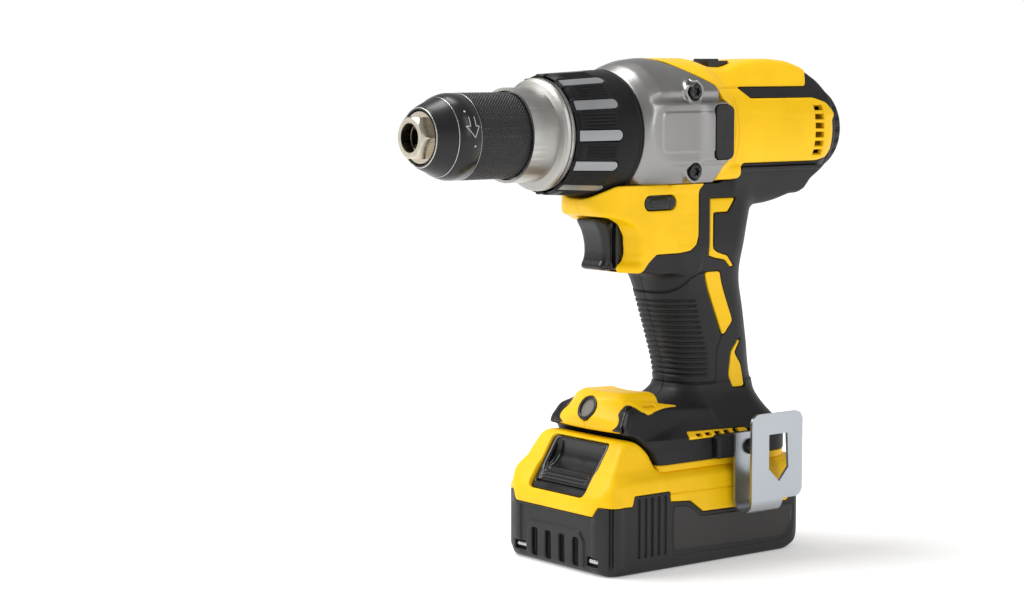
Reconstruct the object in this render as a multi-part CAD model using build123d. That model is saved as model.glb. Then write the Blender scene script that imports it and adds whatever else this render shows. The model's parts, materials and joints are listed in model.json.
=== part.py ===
from build123d import *
import os
from math import acos, cos, pi, radians, sin, tan

os.makedirs("parts", exist_ok=True)

# Frame, in millimetres: the battery pack rests on Z = 0, the chuck points along -Y,
# the left side of the tool is +X, and the origin is the middle of the pack's bottom face.

# ---- driving dimensions ----------------------------------------------------------------
SPINDLE_Z = 221.0          # height of the spindle above the resting face
RUNNING_PLAY = 0.05        # radial clearance of a shaft in its bore
SLIDING_PLAY = 0.4         # clearance around pieces that slide or turn past a cover

# chuck
NOSE_FRONT = -158.0        # front face of the steel nose
NOSE_LENGTH = 6.0
NOSE_FLATS = 20.0          # across the flats of the hexagon
CHUCK_BORE = 7.0           # radius of the tool bore
NOSE_BORE = 7.2            # radius of the bore through the hexagonal nose
SLEEVE_FRONT = -152.4
SLEEVE_REAR = -97.6
SLEEVE_RADIUS = 21.5
CHUCK_BODY_RADIUS = 18.6
SPINDLE_FRONT = -110.0     # front end of the spindle, screwed into the chuck
JAW_RADIUS = 4.2
JAW_ANGLE = radians(15)    # lean of each jaw against the spindle
JAW_LENGTH = 34.0
JAW_CLOSED_GAP = 0.75      # distance of a gripping face from the axis when closed
JAW_CLOSED_TIP = -164.8    # front end of the jaws when closed
JAW_REST_BACK = 14.9       # how far the jaws stand back from closed at rest

# nose collar, clutch and gear case
COLLAR_CLAMP_RADIUS = 23.6
COLLAR_CLAMP_FRONT = -100.0
COLLAR_FLANGE_RADIUS = 28.2
COLLAR_FLANGE_REAR = -78.4
CLUTCH_FRONT = -78.0
CLUTCH_REAR = -37.0
CLUTCH_FRONT_RADIUS = 30.2
CLUTCH_REAR_RADIUS = 32.4
CLUTCH_STRIPES = 12
CASE_TUBE_RADIUS = 28.0
CASE_RADIUS = 38.0
CASE_HALF_WIDTH = 34.5
CASE_REAR = 14.0
CASE_FLOOR_Z = 195.0

# gear train: two planetary stages
GEAR_MODULE = 1.0
PRESSURE_ANGLE = radians(25)
SUN_TEETH = 12
PLANET_TEETH = 15
RING_TEETH = SUN_TEETH + 2 * PLANET_TEETH
PLANETS = 3
TOOTH_HEIGHT = 0.9         # from the pitch circle to a tooth's tip
TOOTH_DEPTH = 1.15         # from the pitch circle to the root
TOOTH_PLAY = 0.14
RING_GEAR_RADIUS = 25.0
PLANET_WIDTH = 10.0
PLANET_PIN_RADIUS = 2.5
STAGE_FRONTS = {"output": -60.0, "input": -41.0}

# motor
MOTOR_RADIUS = 26.0
ROTOR_RADIUS = 14.5
MOTOR_FRONT, MOTOR_REAR = 10.0, 70.0
SHAFT_RADIUS = 3.0
FAN_RADIUS = 24.0

# housing
BARREL_RADIUS = 34.0
BARREL_REAR = 100.0
HOUSING_WALL = 3.0
REAR_CAP_RADIUS = 24.0
REAR_CAP_END = 114.0
TRIGGER_BLOCK_HALF_WIDTH = 23.5
TRIGGER_BLOCK_FRONT = -55.0
GRIP_THICKNESS = 2.5       # rubber over the plastic core
HANDLE_WIDTH = 37.0

# foot and battery pack
FOOT_HALF_WIDTH = 38.0
PACK_HALF_WIDTH = 42.0
PACK_FRONT, PACK_REAR = -69.0, 71.0
PACK_CORNER = 13.0
PACK_SPLIT_Z = 33.0        # joint between the pack's two case parts
PACK_DECK_Z = 49.0         # flat top of the pack, under the foot
FOOT_BASE_Z = 49.5
TOWER_HALF_WIDTH = 26.0
TOWER_TOP_Z = 60.5
CELL_RADIUS, CELL_LENGTH = 9.1, 65.0

# belt clip
CLIP_THICKNESS = 1.6
CLIP_LEG_X = 43.0          # inner face of the leg, clear of the pack's side
CLIP_LEAF_X = 55.4         # inner face of the outer leaf
CLIP_FRONT, CLIP_REAR = 16.0, 52.0
CLIP_HOLE_Y, CLIP_HOLE_Z = 27.0, 58.6
FREE_THREAD_RADIUS = 2.0   # open threaded hole on the right side of the foot
CLIP_THREAD_RADIUS = 2.15  # hole of the belt clip's screw on the left side

SPINDLE = Axis((0, 0, SPINDLE_Z), (0, 1, 0))
FAR = 400.0                # larger than the tool, for cutting bodies


# ---- construction helpers --------------------------------------------------------------
def turned(*outline):
    """Solid of revolution about the spindle from (y, radius) corners."""
    corners = [(0, y, SPINDLE_Z + radius) for y, radius in outline]
    return revolve(make_face(Polyline(*corners, close=True)), SPINDLE)


def ring(y0, y1, outer, inner=0.0):
    return turned((y0, inner), (y0, outer), (y1, outer), (y1, inner))


def block(x, y, z):
    """Box between the two values given for each axis."""
    size = [abs(high - low) for low, high in (x, y, z)]
    middle = [(high + low) / 2 for low, high in (x, y, z)]
    return Pos(*middle) * Box(*size)


def side_plate(outline, half_width):
    """Side outline of (y, z) corners, carried across the tool by half_width each way."""
    corners = [(0, y, z) for y, z in outline]
    return extrude(make_face(Polyline(*corners, close=True)), half_width, dir=(1, 0, 0), both=True)


def front_plate(outline, y0, y1):
    """Front outline of (x, z) corners, carried from y0 to y1."""
    corners = [(x, y0, z) for x, z in outline]
    return extrude(make_face(Polyline(*corners, close=True)), y1 - y0, dir=(0, 1, 0))


def column(half_x, y0, y1, z0, z1, corner):
    """Upright column with rounded corners."""
    plan = RectangleRounded(2 * half_x, y1 - y0, corner)
    return Pos(0, (y0 + y1) / 2, z0) * extrude(plan, z1 - z0)


def across(x0, x1, y, z, radius):
    """Cylinder lying along X."""
    return Pos((x0 + x1) / 2, y, z) * Rot(0, 90, 0) * Cylinder(radius, abs(x1 - x0))


def upright(x, y, z0, z1, radius):
    return Pos(x, y, (z0 + z1) / 2) * Cylinder(radius, z1 - z0)


def about_spindle(shape, degrees):
    return shape.rotate(SPINDLE, degrees)


def left_of(shape):
    return shape & block((0, FAR), (-FAR, FAR), (-FAR, FAR))


def right_of(shape):
    return shape & block((-FAR, 0), (-FAR, FAR), (-FAR, FAR))


def solids_of(shape):
    """Loose solids of a boolean result, without slivers."""
    return [solid for solid in shape.solids() if solid.volume > 1.0]


def write(name, *shapes):
    """Write one sub-part; several solids make one node."""
    solids = [solid for shape in shapes for solid in solids_of(shape)]
    whole = solids[0] if len(solids) == 1 else Compound(children=solids)
    whole.label = name
    export_step(whole, f"parts/{name}.step")


# ---- chuck -------------------------------------------------------------------------------
JAW_PATH = Vector(-sin(JAW_ANGLE), -cos(JAW_ANGLE), 0)     # way in which the +X jaw closes


def jaw_centre_radius(y):
    """Distance of a jaw bore's centre line from the spindle."""
    tip_radius = JAW_CLOSED_GAP + 0.05 - JAW_RADIUS * 0.38
    return tip_radius + (y - JAW_CLOSED_TIP) * tan(JAW_ANGLE)


def jaw_cylinder(y0, y1, radius):
    """Leaning cylinder in the +X direction from the spindle, between two Y stations."""
    start = Vector(jaw_centre_radius(y0), y0, SPINDLE_Z)
    end = Vector(jaw_centre_radius(y1), y1, SPINDLE_Z)
    plane = Plane(origin=start, z_dir=end - start)
    return extrude(plane * Circle(radius), (end - start).length)


def jaw():
    """Jaw in the +X direction, cut to its third of the bore, standing at rest."""
    overrun = 12.0
    front, rear = JAW_CLOSED_TIP, JAW_CLOSED_TIP + JAW_LENGTH
    rod = jaw_cylinder(front - overrun, rear + overrun, JAW_RADIUS)
    rod &= block((-FAR, FAR), (front, rear), (0, FAR))
    wedge_gap = 0.15
    reach = 60.0
    slope = reach * tan(radians(60))
    wedge = front_plate(
        [
            (wedge_gap, SPINDLE_Z),
            (reach, SPINDLE_Z + slope - 2 * wedge_gap),
            (reach, SPINDLE_Z - slope + 2 * wedge_gap),
        ],
        front,
        rear,
    )
    gripping = block((JAW_CLOSED_GAP, FAR), (-FAR, FAR), (0, FAR))
    closed = rod & wedge & gripping
    return Pos(*(JAW_PATH * -JAW_REST_BACK)) * closed


def chuck_body():
    """Steel body with a hexagonal nose, the tool bore and three leaning jaw bores."""
    nose_rear = NOSE_FRONT + NOSE_LENGTH
    front = Plane(origin=(0, NOSE_FRONT, SPINDLE_Z), x_dir=(1, 0, 0), z_dir=(0, 1, 0))
    nose = extrude(front * RegularPolygon(NOSE_FLATS / 2, 6, major_radius=False), NOSE_LENGTH)
    nose &= turned(
        (NOSE_FRONT, 0), (NOSE_FRONT, 9.6), (NOSE_FRONT + 1.5, 11.2), (nose_rear, 11.6), (nose_rear, 0)
    )
    body = turned(
        (nose_rear, 0),
        (nose_rear, 12.6),
        (-142, 16.6),
        (-136, CHUCK_BODY_RADIUS),
        (-102, CHUCK_BODY_RADIUS),
        (-98, 15.0),
        (-98, 0),
    )
    body += nose
    body -= ring(NOSE_FRONT - 1, SPINDLE_FRONT, CHUCK_BORE)
    body -= ring(NOSE_FRONT - 1, nose_rear, NOSE_BORE)
    body -= ring(SPINDLE_FRONT - 0.5, -97, 8.0)
    bore = jaw_cylinder(-172, -108, JAW_RADIUS + RUNNING_PLAY)
    bore &= block((-FAR, FAR), (NOSE_FRONT + 0.5, -109), (0, FAR))
    for index in range(3):
        body -= about_spindle(bore, 120 * index)
    return body


def chuck_sleeve():
    """Gripping sleeve: tapered nose, smooth band and a long gripping band."""
    wall_gap = 0.5
    return turned(
        (SLEEVE_FRONT, 13.4),
        (SLEEVE_FRONT, 14.4),
        (-151.2, 15.4),
        (-142.5, 19.2),
        (-141.5, 20.0),
        (-136.5, SLEEVE_RADIUS),
        (SLEEVE_REAR, SLEEVE_RADIUS),
        (SLEEVE_REAR, 15.6),
        (-97.4 - wall_gap, 15.6),
        (-102.4, CHUCK_BODY_RADIUS + wall_gap),
        (-135.8, CHUCK_BODY_RADIUS + wall_gap),
        (-142.2, 17.2),
    )


def spindle():
    """Output spindle with the second stage's planet carrier at its rear."""
    front = STAGE_FRONTS["output"]
    shaft = ring(SPINDLE_FRONT, front - 5, 8.0)
    shaft -= ring(SPINDLE_FRONT - 1, -100, 3.2)
    journal = ring(-97.5, -86, 8.45)
    plate = ring(front - 5, front - 1, 19.0)
    return shaft + journal + plate + carrier_pins(front)


def chuck_screw():
    """Screw through the bottom of the chuck into the spindle."""
    return ring(SPINDLE_FRONT - 3, SPINDLE_FRONT, 5.0) + ring(SPINDLE_FRONT, -101, 3.1)


# ---- gear train --------------------------------------------------------------------------
def involute(angle):
    return tan(angle) - angle


def tooth_outline(teeth, root, tip, play):
    """Corners of a spur gear about its own centre, a tooth on the first axis."""
    pitch = GEAR_MODULE * teeth / 2
    base = pitch * cos(PRESSURE_ANGLE)
    steps = 5
    radii = [root + (tip - root) * step / steps for step in range(steps + 1)]
    corners = []
    for tooth in range(teeth):
        centre = 2 * pi * tooth / teeth
        for side, flank in ((-1, radii), (1, radii[::-1])):
            for radius in flank:
                roll = acos(min(1.0, base / radius))
                half = pi / (2 * teeth) - play / (2 * pitch) + involute(PRESSURE_ANGLE) - involute(roll)
                angle = centre + side * half
                corners.append((radius * cos(angle), radius * sin(angle)))
    return corners


def toothed(outline, x, y0, y1):
    """Gear outline carried along Y, its centre x from the spindle."""
    plane = Plane(origin=(x, y0, SPINDLE_Z), x_dir=(1, 0, 0), z_dir=(0, 1, 0))
    return extrude(plane * make_face(Polyline(*outline, close=True)), y1 - y0)


def outer_gear(teeth, x, y0, y1):
    pitch = GEAR_MODULE * teeth / 2
    return toothed(tooth_outline(teeth, pitch - TOOTH_DEPTH, pitch + TOOTH_HEIGHT, TOOTH_PLAY), x, y0, y1)


PLANET_ORBIT = GEAR_MODULE * (SUN_TEETH + PLANET_TEETH) / 2


def carrier_pins(front):
    """Planet pins, from a carrier plate rearwards through the planets."""
    pins = Part()
    for index in range(PLANETS):
        plane = Plane(origin=(PLANET_ORBIT, front - 1, SPINDLE_Z), z_dir=(0, 1, 0))
        pin = extrude(plane * Circle(PLANET_PIN_RADIUS), PLANET_WIDTH + 1.8)
        pins += about_spindle(pin, 360 / PLANETS * index)
    return pins


def planet(front, index):
    """Planet gear with its bore, a tooth pointing away from the spindle."""
    gear = outer_gear(PLANET_TEETH, PLANET_ORBIT, front, front + PLANET_WIDTH)
    plane = Plane(origin=(PLANET_ORBIT, front - 1, SPINDLE_Z), z_dir=(0, 1, 0))
    gear -= extrude(plane * Circle(PLANET_PIN_RADIUS + RUNNING_PLAY), PLANET_WIDTH + 2)
    return about_spindle(gear, 360 / PLANETS * index)


def ring_gear(front):
    """Internal ring gear, a tooth space on the first axis."""
    pitch = GEAR_MODULE * RING_TEETH / 2
    y0, y1 = front - 1, front + PLANET_WIDTH + 1
    spaces = tooth_outline(RING_TEETH, pitch - TOOTH_HEIGHT, pitch + TOOTH_DEPTH, -TOOTH_PLAY)
    return ring(y0, y1, RING_GEAR_RADIUS) - toothed(spaces, 0, y0 - 1, y1 + 1)


def carrier():
    """First stage's planet carrier, with the second stage's sun gear in front."""
    front = STAGE_FRONTS["input"]
    sun = outer_gear(SUN_TEETH, 0, STAGE_FRONTS["output"], front - 4)
    return sun + ring(front - 5, front - 1, 19.0) + carrier_pins(front)


def rotor_shaft():
    """Motor shaft with the first sun gear cut on its front end."""
    front = STAGE_FRONTS["input"]
    return outer_gear(SUN_TEETH, 0, front, front + 12) + ring(front + 12, 104, SHAFT_RADIUS)


# ---- motor -------------------------------------------------------------------------------
def motor_can():
    """Stator: a laminated ring with twelve inward poles in a can."""
    can = ring(MOTOR_FRONT, MOTOR_REAR, MOTOR_RADIUS, MOTOR_RADIUS - 3.5)
    poles = 12
    for index in range(poles):
        pole = block(
            (14.9, MOTOR_RADIUS - 3), (MOTOR_FRONT + 6, MOTOR_REAR - 6), (SPINDLE_Z - 2, SPINDLE_Z + 2)
        )
        pole &= ring(MOTOR_FRONT, MOTOR_REAR, MOTOR_RADIUS, 14.9)
        can += about_spindle(pole, 360 / poles * index)
    return can


def cooling_fan():
    """Hub and back disc with curved-side blades."""
    fan = ring(76, 88, 6.0, SHAFT_RADIUS) + ring(76, 78, FAN_RADIUS, SHAFT_RADIUS)
    blades = 9
    for index in range(blades):
        blade = block((5, FAN_RADIUS - 1), (77.5, 87), (SPINDLE_Z - 0.8, SPINDLE_Z + 0.8))
        fan += about_spindle(blade, 360 / blades * index)
    return fan


def motor_plate():
    """Wall between the gear case and the motor, carrying the front bearing."""
    return ring(-27, -20, 30.0, 11.0) + ring(-20, 2, 17.0, 11.0)


# ---- nose collar, gear case and clutch -----------------------------------------------------
def nose_collar():
    """Turned aluminium collar: clamp seat for a side handle, flange, bearing seat."""
    collar = turned(
        (COLLAR_CLAMP_FRONT, 22.2),
        (COLLAR_CLAMP_FRONT, COLLAR_CLAMP_RADIUS),
        (-84.4, COLLAR_CLAMP_RADIUS),
        (-83.4, 26.2),
        (-82.4, COLLAR_FLANGE_RADIUS - 0.4),
        (-81.2, COLLAR_FLANGE_RADIUS),
        (COLLAR_FLANGE_REAR, COLLAR_FLANGE_RADIUS),
        (COLLAR_FLANGE_REAR, 20.0),
        (-86, 20.0),
        (-86, 17.0),
        (-95.8, 17.0),
        (-95.8, 22.2),
    )
    groove = ring(-80.6, -80.0, COLLAR_FLANGE_RADIUS + 1, COLLAR_FLANGE_RADIUS - 0.8)
    return collar - groove


def gear_case():
    """Cast gear case: front tube under the clutch collar, domed body, screw ears."""
    tube = ring(COLLAR_FLANGE_REAR, -30, CASE_TUBE_RADIUS, RING_GEAR_RADIUS)
    dome = turned(
        (CLUTCH_REAR + 0.6, RING_GEAR_RADIUS),
        (CLUTCH_REAR + 0.6, 31.6),
        (-31, 34.6),
        (-24, 36.9),
        (-15, CASE_RADIUS),
        (CASE_REAR + 10, CASE_RADIUS),
        (CASE_REAR + 10, 30.0),
        (-28, 30.0),
        (-28, RING_GEAR_RADIUS),
    )
    dome &= block((-CASE_HALF_WIDTH, CASE_HALF_WIDTH), (-FAR, FAR), (CASE_FLOOR_Z, FAR))
    body = tube + (dome & case_side())
    for side in (-1, 1):
        body -= bumper(side)
        for ear_z in CASE_SCREW_HEIGHTS:
            body -= across(side * 31.5, side * 45, CASE_SCREW_Y, ear_z, 4.4)
            body -= across(side * 20, side * 45, CASE_SCREW_Y, ear_z, 1.9)
    return body


CASE_SCREW_Y = -3.3
CASE_SCREW_HEIGHTS = (242.0, 201.5)


def case_side():
    """Everything on the gear-case side of its joint with the plastic housing."""
    return side_plate(
        [
            (-FAR, CASE_FLOOR_Z),
            (-FAR, FAR),
            (-13, FAR),
            (-13, 260),
            (CASE_REAR, 245),
            (16, 238),
            (21, 234),
            (21, 208),
            (16, 204),
            (CASE_REAR, 198),
            (CASE_REAR, CASE_FLOOR_Z),
        ],
        FAR / 2,
    )


def gear_case_screws():
    screws = []
    for side in (-1, 1):
        for ear_z in CASE_SCREW_HEIGHTS:
            head = across(side * 31.5, side * 34.3, CASE_SCREW_Y, ear_z, 3.6)
            shank = across(side * 22, side * 31.5, CASE_SCREW_Y, ear_z, 1.8)
            socket = across(side * 33.0, side * 35, CASE_SCREW_Y, ear_z, 1.6)
            screws.append(head + shank - socket)
    return screws


def stripe_bar(radius_low, radius_high):
    """Round-ended bar in the clutch collar's face, at the first angle."""
    half = 2.6
    front, rear = CLUTCH_FRONT + 1.5, -53.0
    bar = block((radius_low, radius_high), (front, rear), (SPINDLE_Z - half, SPINDLE_Z + half))
    bar += across(radius_low, radius_high, rear, SPINDLE_Z, half)
    return bar


def clutch_collar():
    """Torque collar with grip pads between twelve inlaid stripes."""
    collar = turned(
        (CLUTCH_FRONT, CASE_TUBE_RADIUS + SLIDING_PLAY),
        (CLUTCH_FRONT, CLUTCH_FRONT_RADIUS),
        (-44, CLUTCH_REAR_RADIUS),
        (-40, CLUTCH_REAR_RADIUS),
        (CLUTCH_REAR, CLUTCH_REAR_RADIUS - 0.8),
        (CLUTCH_REAR, CASE_TUBE_RADIUS + SLIDING_PLAY),
    )
    for index in range(CLUTCH_STRIPES):
        collar -= about_spindle(stripe_bar(29.4, 40), 360 / CLUTCH_STRIPES * index)
    return collar


def clutch_stripes():
    shape = turned((CLUTCH_FRONT, 29.4), (CLUTCH_FRONT, 29.8), (-44, 31.9), (-44, 29.4))
    return [
        about_spindle(stripe_bar(29.4, 40) & shape, 360 / CLUTCH_STRIPES * index)
        for index in range(CLUTCH_STRIPES)
    ]


# ---- housing -----------------------------------------------------------------------------
HANDLE_STATIONS = (        # height, middle, half depth of the grip's outside
    (200, 15, 44),
    (168, 14.5, 36),
    (150, 17.3, 30),
    (128, 24.3, 29),
    (106, 29.9, 27),
    (88, 32.7, 26.5),
)


def grip(inset):
    """Handle between the motor and the foot, inset from its rubber surface."""
    sections = [
        Pos(0, middle, z)
        * RectangleRounded(HANDLE_WIDTH - 2 * inset, 2 * (depth - inset), 15 - inset)
        for z, middle, depth in HANDLE_STATIONS
    ]
    return loft(sections)


def foot(inset):
    """Flared foot below the handle, open towards the pack."""
    flare = loft(
        [
            Pos(0, 32.7, 88) * RectangleRounded(HANDLE_WIDTH - 2 * inset, 53 - 2 * inset, 15 - inset),
            Pos(0, 13.5, 68) * RectangleRounded(2 * (FOOT_HALF_WIDTH - inset), 104 - 2 * inset, 16 - inset),
        ]
    )
    skirt = column(FOOT_HALF_WIDTH - inset, -38.5 + inset, 65.5 - inset, FOOT_BASE_Z, 68, 16 - inset)
    slanted_front = side_plate([(-60, 40), (-29, 40), (-29, 50), (-34, 60.5), (-41, 68), (-60, 68)], FAR / 2)
    return flare + skirt - slanted_front


def worklight_hood():
    """Sloping hood ahead of the foot, with a recess for the worklight."""
    side = side_plate(
        [(-50.5, 68), (-49, 76), (-43.5, 86), (-38, 88.6), (-22, 88), (-4, 84), (-4, 68)], FAR / 2
    )
    front = front_plate([(-29, 68), (-17, 87), (-13, 89), (13, 89), (17, 87), (29, 68)], -60, 0)
    return side & front


def barrel():
    """Motor barrel with the raised spine on top."""
    body = turned(
        (-13, 0), (-13, CASE_RADIUS), (8, CASE_RADIUS), (CASE_REAR + 8, BARREL_RADIUS),
        (92, BARREL_RADIUS), (97, 32.0), (BARREL_REAR, 28.5), (BARREL_REAR, 0),
    )
    body &= block((-CASE_HALF_WIDTH, CASE_HALF_WIDTH), (-FAR, FAR), (0, FAR))
    outline = [(14, 240), (14, 254), (44, 254), (54, 258), (72, 259.4), (88, 257), (98, 250), (100, 240)]
    spine = side_plate(outline, 21)
    spine &= front_plate([(-21, 240), (-21, 248), (-12, 259.6), (12, 259.6), (21, 248), (21, 240)], 0, FAR)
    return body + spine


def trigger_block():
    """Body between motor and handle, with the trigger recess in its front."""
    outline = [
        (TRIGGER_BLOCK_FRONT, 200),
        (TRIGGER_BLOCK_FRONT, 185),
        (-51, 179.5),
        (-44, 178.2),
        (-38, 175),
        (-34.5, 169),
        (-34.5, 160),
        (-38, 155.4),
        (-44, 153.6),
        (-47.5, 152.6),
        (-44, 150.4),
        (-26, 149.4),
        (-10, 148),
        (16, 148),
        (16, 210),
        (-36, 210),
        (-36, 200),
    ]
    half = TRIGGER_BLOCK_HALF_WIDTH
    plan = column(half, TRIGGER_BLOCK_FRONT, 60, 140, 215, half - 4)
    shape = side_plate(outline, half) & plan
    return shape - ring(-FAR, -36.4, CLUTCH_REAR_RADIUS + 0.7)


def clip_bosses():
    """Blocks on both sides of the foot that carry a belt clip."""
    return [
        block((side * 35, side * CLIP_LEG_X), (6, 38), (52.5, 66)) for side in (-1, 1)
    ]


def housing_space():
    """Hollow inside the housing for the motor, switch, electronics and pack tower."""
    motor_room = ring(-20, BARREL_REAR - HOUSING_WALL, BARREL_RADIUS - HOUSING_WALL)
    core = grip(GRIP_THICKNESS + HOUSING_WALL) & block((-FAR, FAR), (-FAR, FAR), (93, 192))
    switch_room = block((-18, 18), (-32, 34), (153, 192))
    trigger_slot = block((-12.6, 12.6), (-70, -12), (150.6, 178.4))
    tower_room = block(
        (-TOWER_HALF_WIDTH - SLIDING_PLAY, TOWER_HALF_WIDTH + SLIDING_PLAY), (-70, 58), (40, 62)
    )
    board_room = column(30, -20, 58, 61.9, 70, 8)
    wire_way = column(10, 20, 50, 69, 96, 6)
    hood_room = side_plate([(-46, 71), (-41, 85), (-30, 85), (-19, 80), (-19, 71)], 13)
    return [motor_room, core, switch_room, trigger_slot, tower_room, board_room, wire_way, hood_room]


def pack_rails():
    """Guide rails on the foot that run in the pack tower's grooves."""
    inner = TOWER_HALF_WIDTH - 2.4
    return [
        block((side * inner, side * (TOWER_HALF_WIDTH + 1)), (-26, 56), (53.5, 55.5))
        for side in (-1, 1)
    ]


BUTTON_Y, BUTTON_Z = -17.7, 185.6
BUTTON_LENGTH, BUTTON_HEIGHT = 21.0, 7.2


def oval_bar(x0, x1, grow=0.0):
    """Bar across the tool with the direction button's oval section."""
    plane = Plane(origin=(x0, BUTTON_Y, BUTTON_Z), x_dir=(0, 1, 0), z_dir=(1, 0, 0))
    oval = SlotOverall(BUTTON_LENGTH + 2 * grow, BUTTON_HEIGHT + 2 * grow)
    return extrude(plane * oval, x1 - x0)


LAMP_Y, LAMP_Z = -46.6, 80.4
LAMP_TILT = 62.0           # degrees that the lamp looks up from straight down the front


def lamp_cylinder(radius, low, high):
    """Cylinder along the worklight's axis, between two depths from the hood's face."""
    angle = radians(LAMP_TILT)
    outward = Vector(0, -sin(angle), cos(angle))
    start = Vector(0, LAMP_Y, LAMP_Z) + outward * low
    return extrude(Plane(origin=start, z_dir=outward) * Circle(radius), high - low)


VENT_ROWS = (-2, -1, 0, 1, 2, 3)


def vents():
    """Exhaust slots through both sides of the barrel's rear."""
    slots = []
    for side in (0, 180):
        for row in VENT_ROWS:
            slot = block((26, 40), (82.5, 88.5), (SPINDLE_Z - 1.4, SPINDLE_Z + 1.4))
            tilt = (row - 0.5) * 8.2
            slots.append(about_spindle(slot, tilt if side == 0 else 180 - tilt))
    return slots


SELECTOR_FRONT, SELECTOR_REAR = 27.5, 42.5


def plastic_body():
    """Whole plastic housing before it is split, without the rubber on the handle."""
    outside = (barrel() - case_side()) + trigger_block() + grip(GRIP_THICKNESS) + foot(GRIP_THICKNESS)
    outside += worklight_hood()
    for boss in clip_bosses():
        outside += boss
    outside -= ring(-36.4, 24, CASE_RADIUS + 0.1) & case_side()
    outside -= ring(-80, -28, CASE_TUBE_RADIUS)
    outside -= ring(-28, -19, 30.0)
    outside -= ring(BARREL_REAR - 5, BARREL_REAR + 1, 5.5)
    for space in housing_space():
        outside -= space
    for rail in pack_rails():
        outside += rail
    outside -= block((-9.4, 9.4), (17, SELECTOR_REAR + 0.5), (253.2, 262))
    outside -= block((-4.4, 4.4), (18, SELECTOR_REAR), (245, 262))
    outside -= oval_bar(-40, 40, SLIDING_PLAY)
    outside -= lamp_cylinder(5.6, -6.0, 20)
    for slot in vents():
        outside -= slot
    outside -= across(-33, -60, CLIP_HOLE_Y, CLIP_HOLE_Z, FREE_THREAD_RADIUS)
    outside -= across(33, 60, CLIP_HOLE_Y, CLIP_HOLE_Z, CLIP_THREAD_RADIUS)
    for side in (-1, 1):
        outside -= bumper(side)
    for y, z in HOUSING_SCREW_PLACES:
        outside -= across(-60, housing_screw_face(z) + 2.6, y, z, 3.4)
    return outside


HOUSING_SCREW_PLACES = ((30, 245), (80, 244), (30, 198), (84, 198), (-30, 190), (8, 160))


def housing_screw_face(z):
    """X of the right side's surface where a housing screw sits."""
    return -TRIGGER_BLOCK_HALF_WIDTH if z < 196 else -(BARREL_RADIUS ** 2 - (z - SPINDLE_Z) ** 2) ** 0.5


def housing_screws():
    screws = []
    for y, z in HOUSING_SCREW_PLACES:
        face = housing_screw_face(z)
        screws.append(across(face, face + 2.6, y, z, 3.2))
    return screws


def grip_rubber():
    """Rubber over the handle and foot, and the pad under the motor's rear."""
    sleeve = grip(0) - grip(GRIP_THICKNESS)
    skin = foot(0) - foot(GRIP_THICKNESS)
    skin &= block((-FAR, FAR), (-FAR, FAR), (53.5, 88))
    sleeve &= block((-FAR, FAR), (-FAR, FAR), (88, 186))
    tail = side_plate(
        [(46, 172), (60, 177.6), (84, 180.5), (94, 184.5), (97, 190), (97, 205), (30, 205), (34, 180)], 24
    )
    tail &= front_plate([(-14, 172), (-24, 190), (-30, 205), (30, 205), (24, 190), (14, 172)], 0, FAR)
    tail -= grip(GRIP_THICKNESS)
    rubber = sleeve + skin + tail
    rubber -= barrel()
    rubber -= trigger_block()
    rubber -= worklight_hood()
    for boss in clip_bosses():
        rubber -= boss
    rubber -= case_side()
    rubber -= block((-TOWER_HALF_WIDTH - 1, TOWER_HALF_WIDTH + 1), (-70, -30), (40, 64))
    for y, z in HOUSING_SCREW_PLACES:
        rubber -= across(-60, -10, y, z, 3.4)
    rubber -= oval_bar(-40, 40, SLIDING_PLAY)
    return rubber


def rear_cap():
    """Cap over the barrel's rear with a raised round boss and the rear bearing seat."""
    return turned(
        (BARREL_REAR, 5.5),
        (BARREL_REAR, 28.5),
        (102.5, 27.6),
        (104.5, REAR_CAP_RADIUS + 1),
        (105, REAR_CAP_RADIUS),
        (111, REAR_CAP_RADIUS - 1.2),
        (REAR_CAP_END, REAR_CAP_RADIUS - 5),
        (REAR_CAP_END, 0),
        (107, 0),
        (107, 5.5),
    )


def bumper(side):
    """Rubber pad on the housing's side, behind the gear case."""
    pad = block((side * 30, side * 36.4), (8.5, 20.6), (207.5, 235))
    return fillet(pad.edges().filter_by(Axis.X), 3.5)


# ---- controls ----------------------------------------------------------------------------
def trigger():
    """Trigger with a hollow-curved front and a wider boot behind it."""
    front_curve = ThreePointArc((0, -48, 176.6), (0, -42.4, 164), (0, -44.6, 153))
    edges = [
        front_curve,
        Line((0, -44.6, 153), (0, -40, 151.2)),
        Line((0, -40, 151.2), (0, -22, 151.2)),
        Line((0, -22, 151.2), (0, -22, 177.8)),
        Line((0, -22, 177.8), (0, -46, 177.8)),
        Line((0, -46, 177.8), (0, -48, 176.6)),
    ]
    blade = extrude(make_face(edges), 9.5, dir=(1, 0, 0), both=True)
    boot = block((-12.2, 12.2), (-36.5, -22), (151.2, 177.8))
    stem = block((-4, 4), (-22, -12), (160, 172))
    return blade + boot + stem


def speed_selector():
    """Thumb slide on top of the housing, on a stem through its slot."""
    cap = block((-9, 9), (SELECTOR_FRONT, SELECTOR_REAR), (253.5, 257.6))
    cap = fillet(cap.edges().filter_by(Axis.Z), 2.0)
    ridge = block((-8, 8), (SELECTOR_FRONT + 5, SELECTOR_FRONT + 8), (257.6, 258.6))
    stem = block((-4, 4), (SELECTOR_FRONT + 1, SELECTOR_REAR - 1), (253.0, 253.5))
    return cap + ridge + stem


def switch_body():
    body = block((-10, 10), (-9, 24), (155, 178))
    socket = block((-4.4, 4.4), (-10, 0.5), (159.6, 172.4))
    return body - socket


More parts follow.
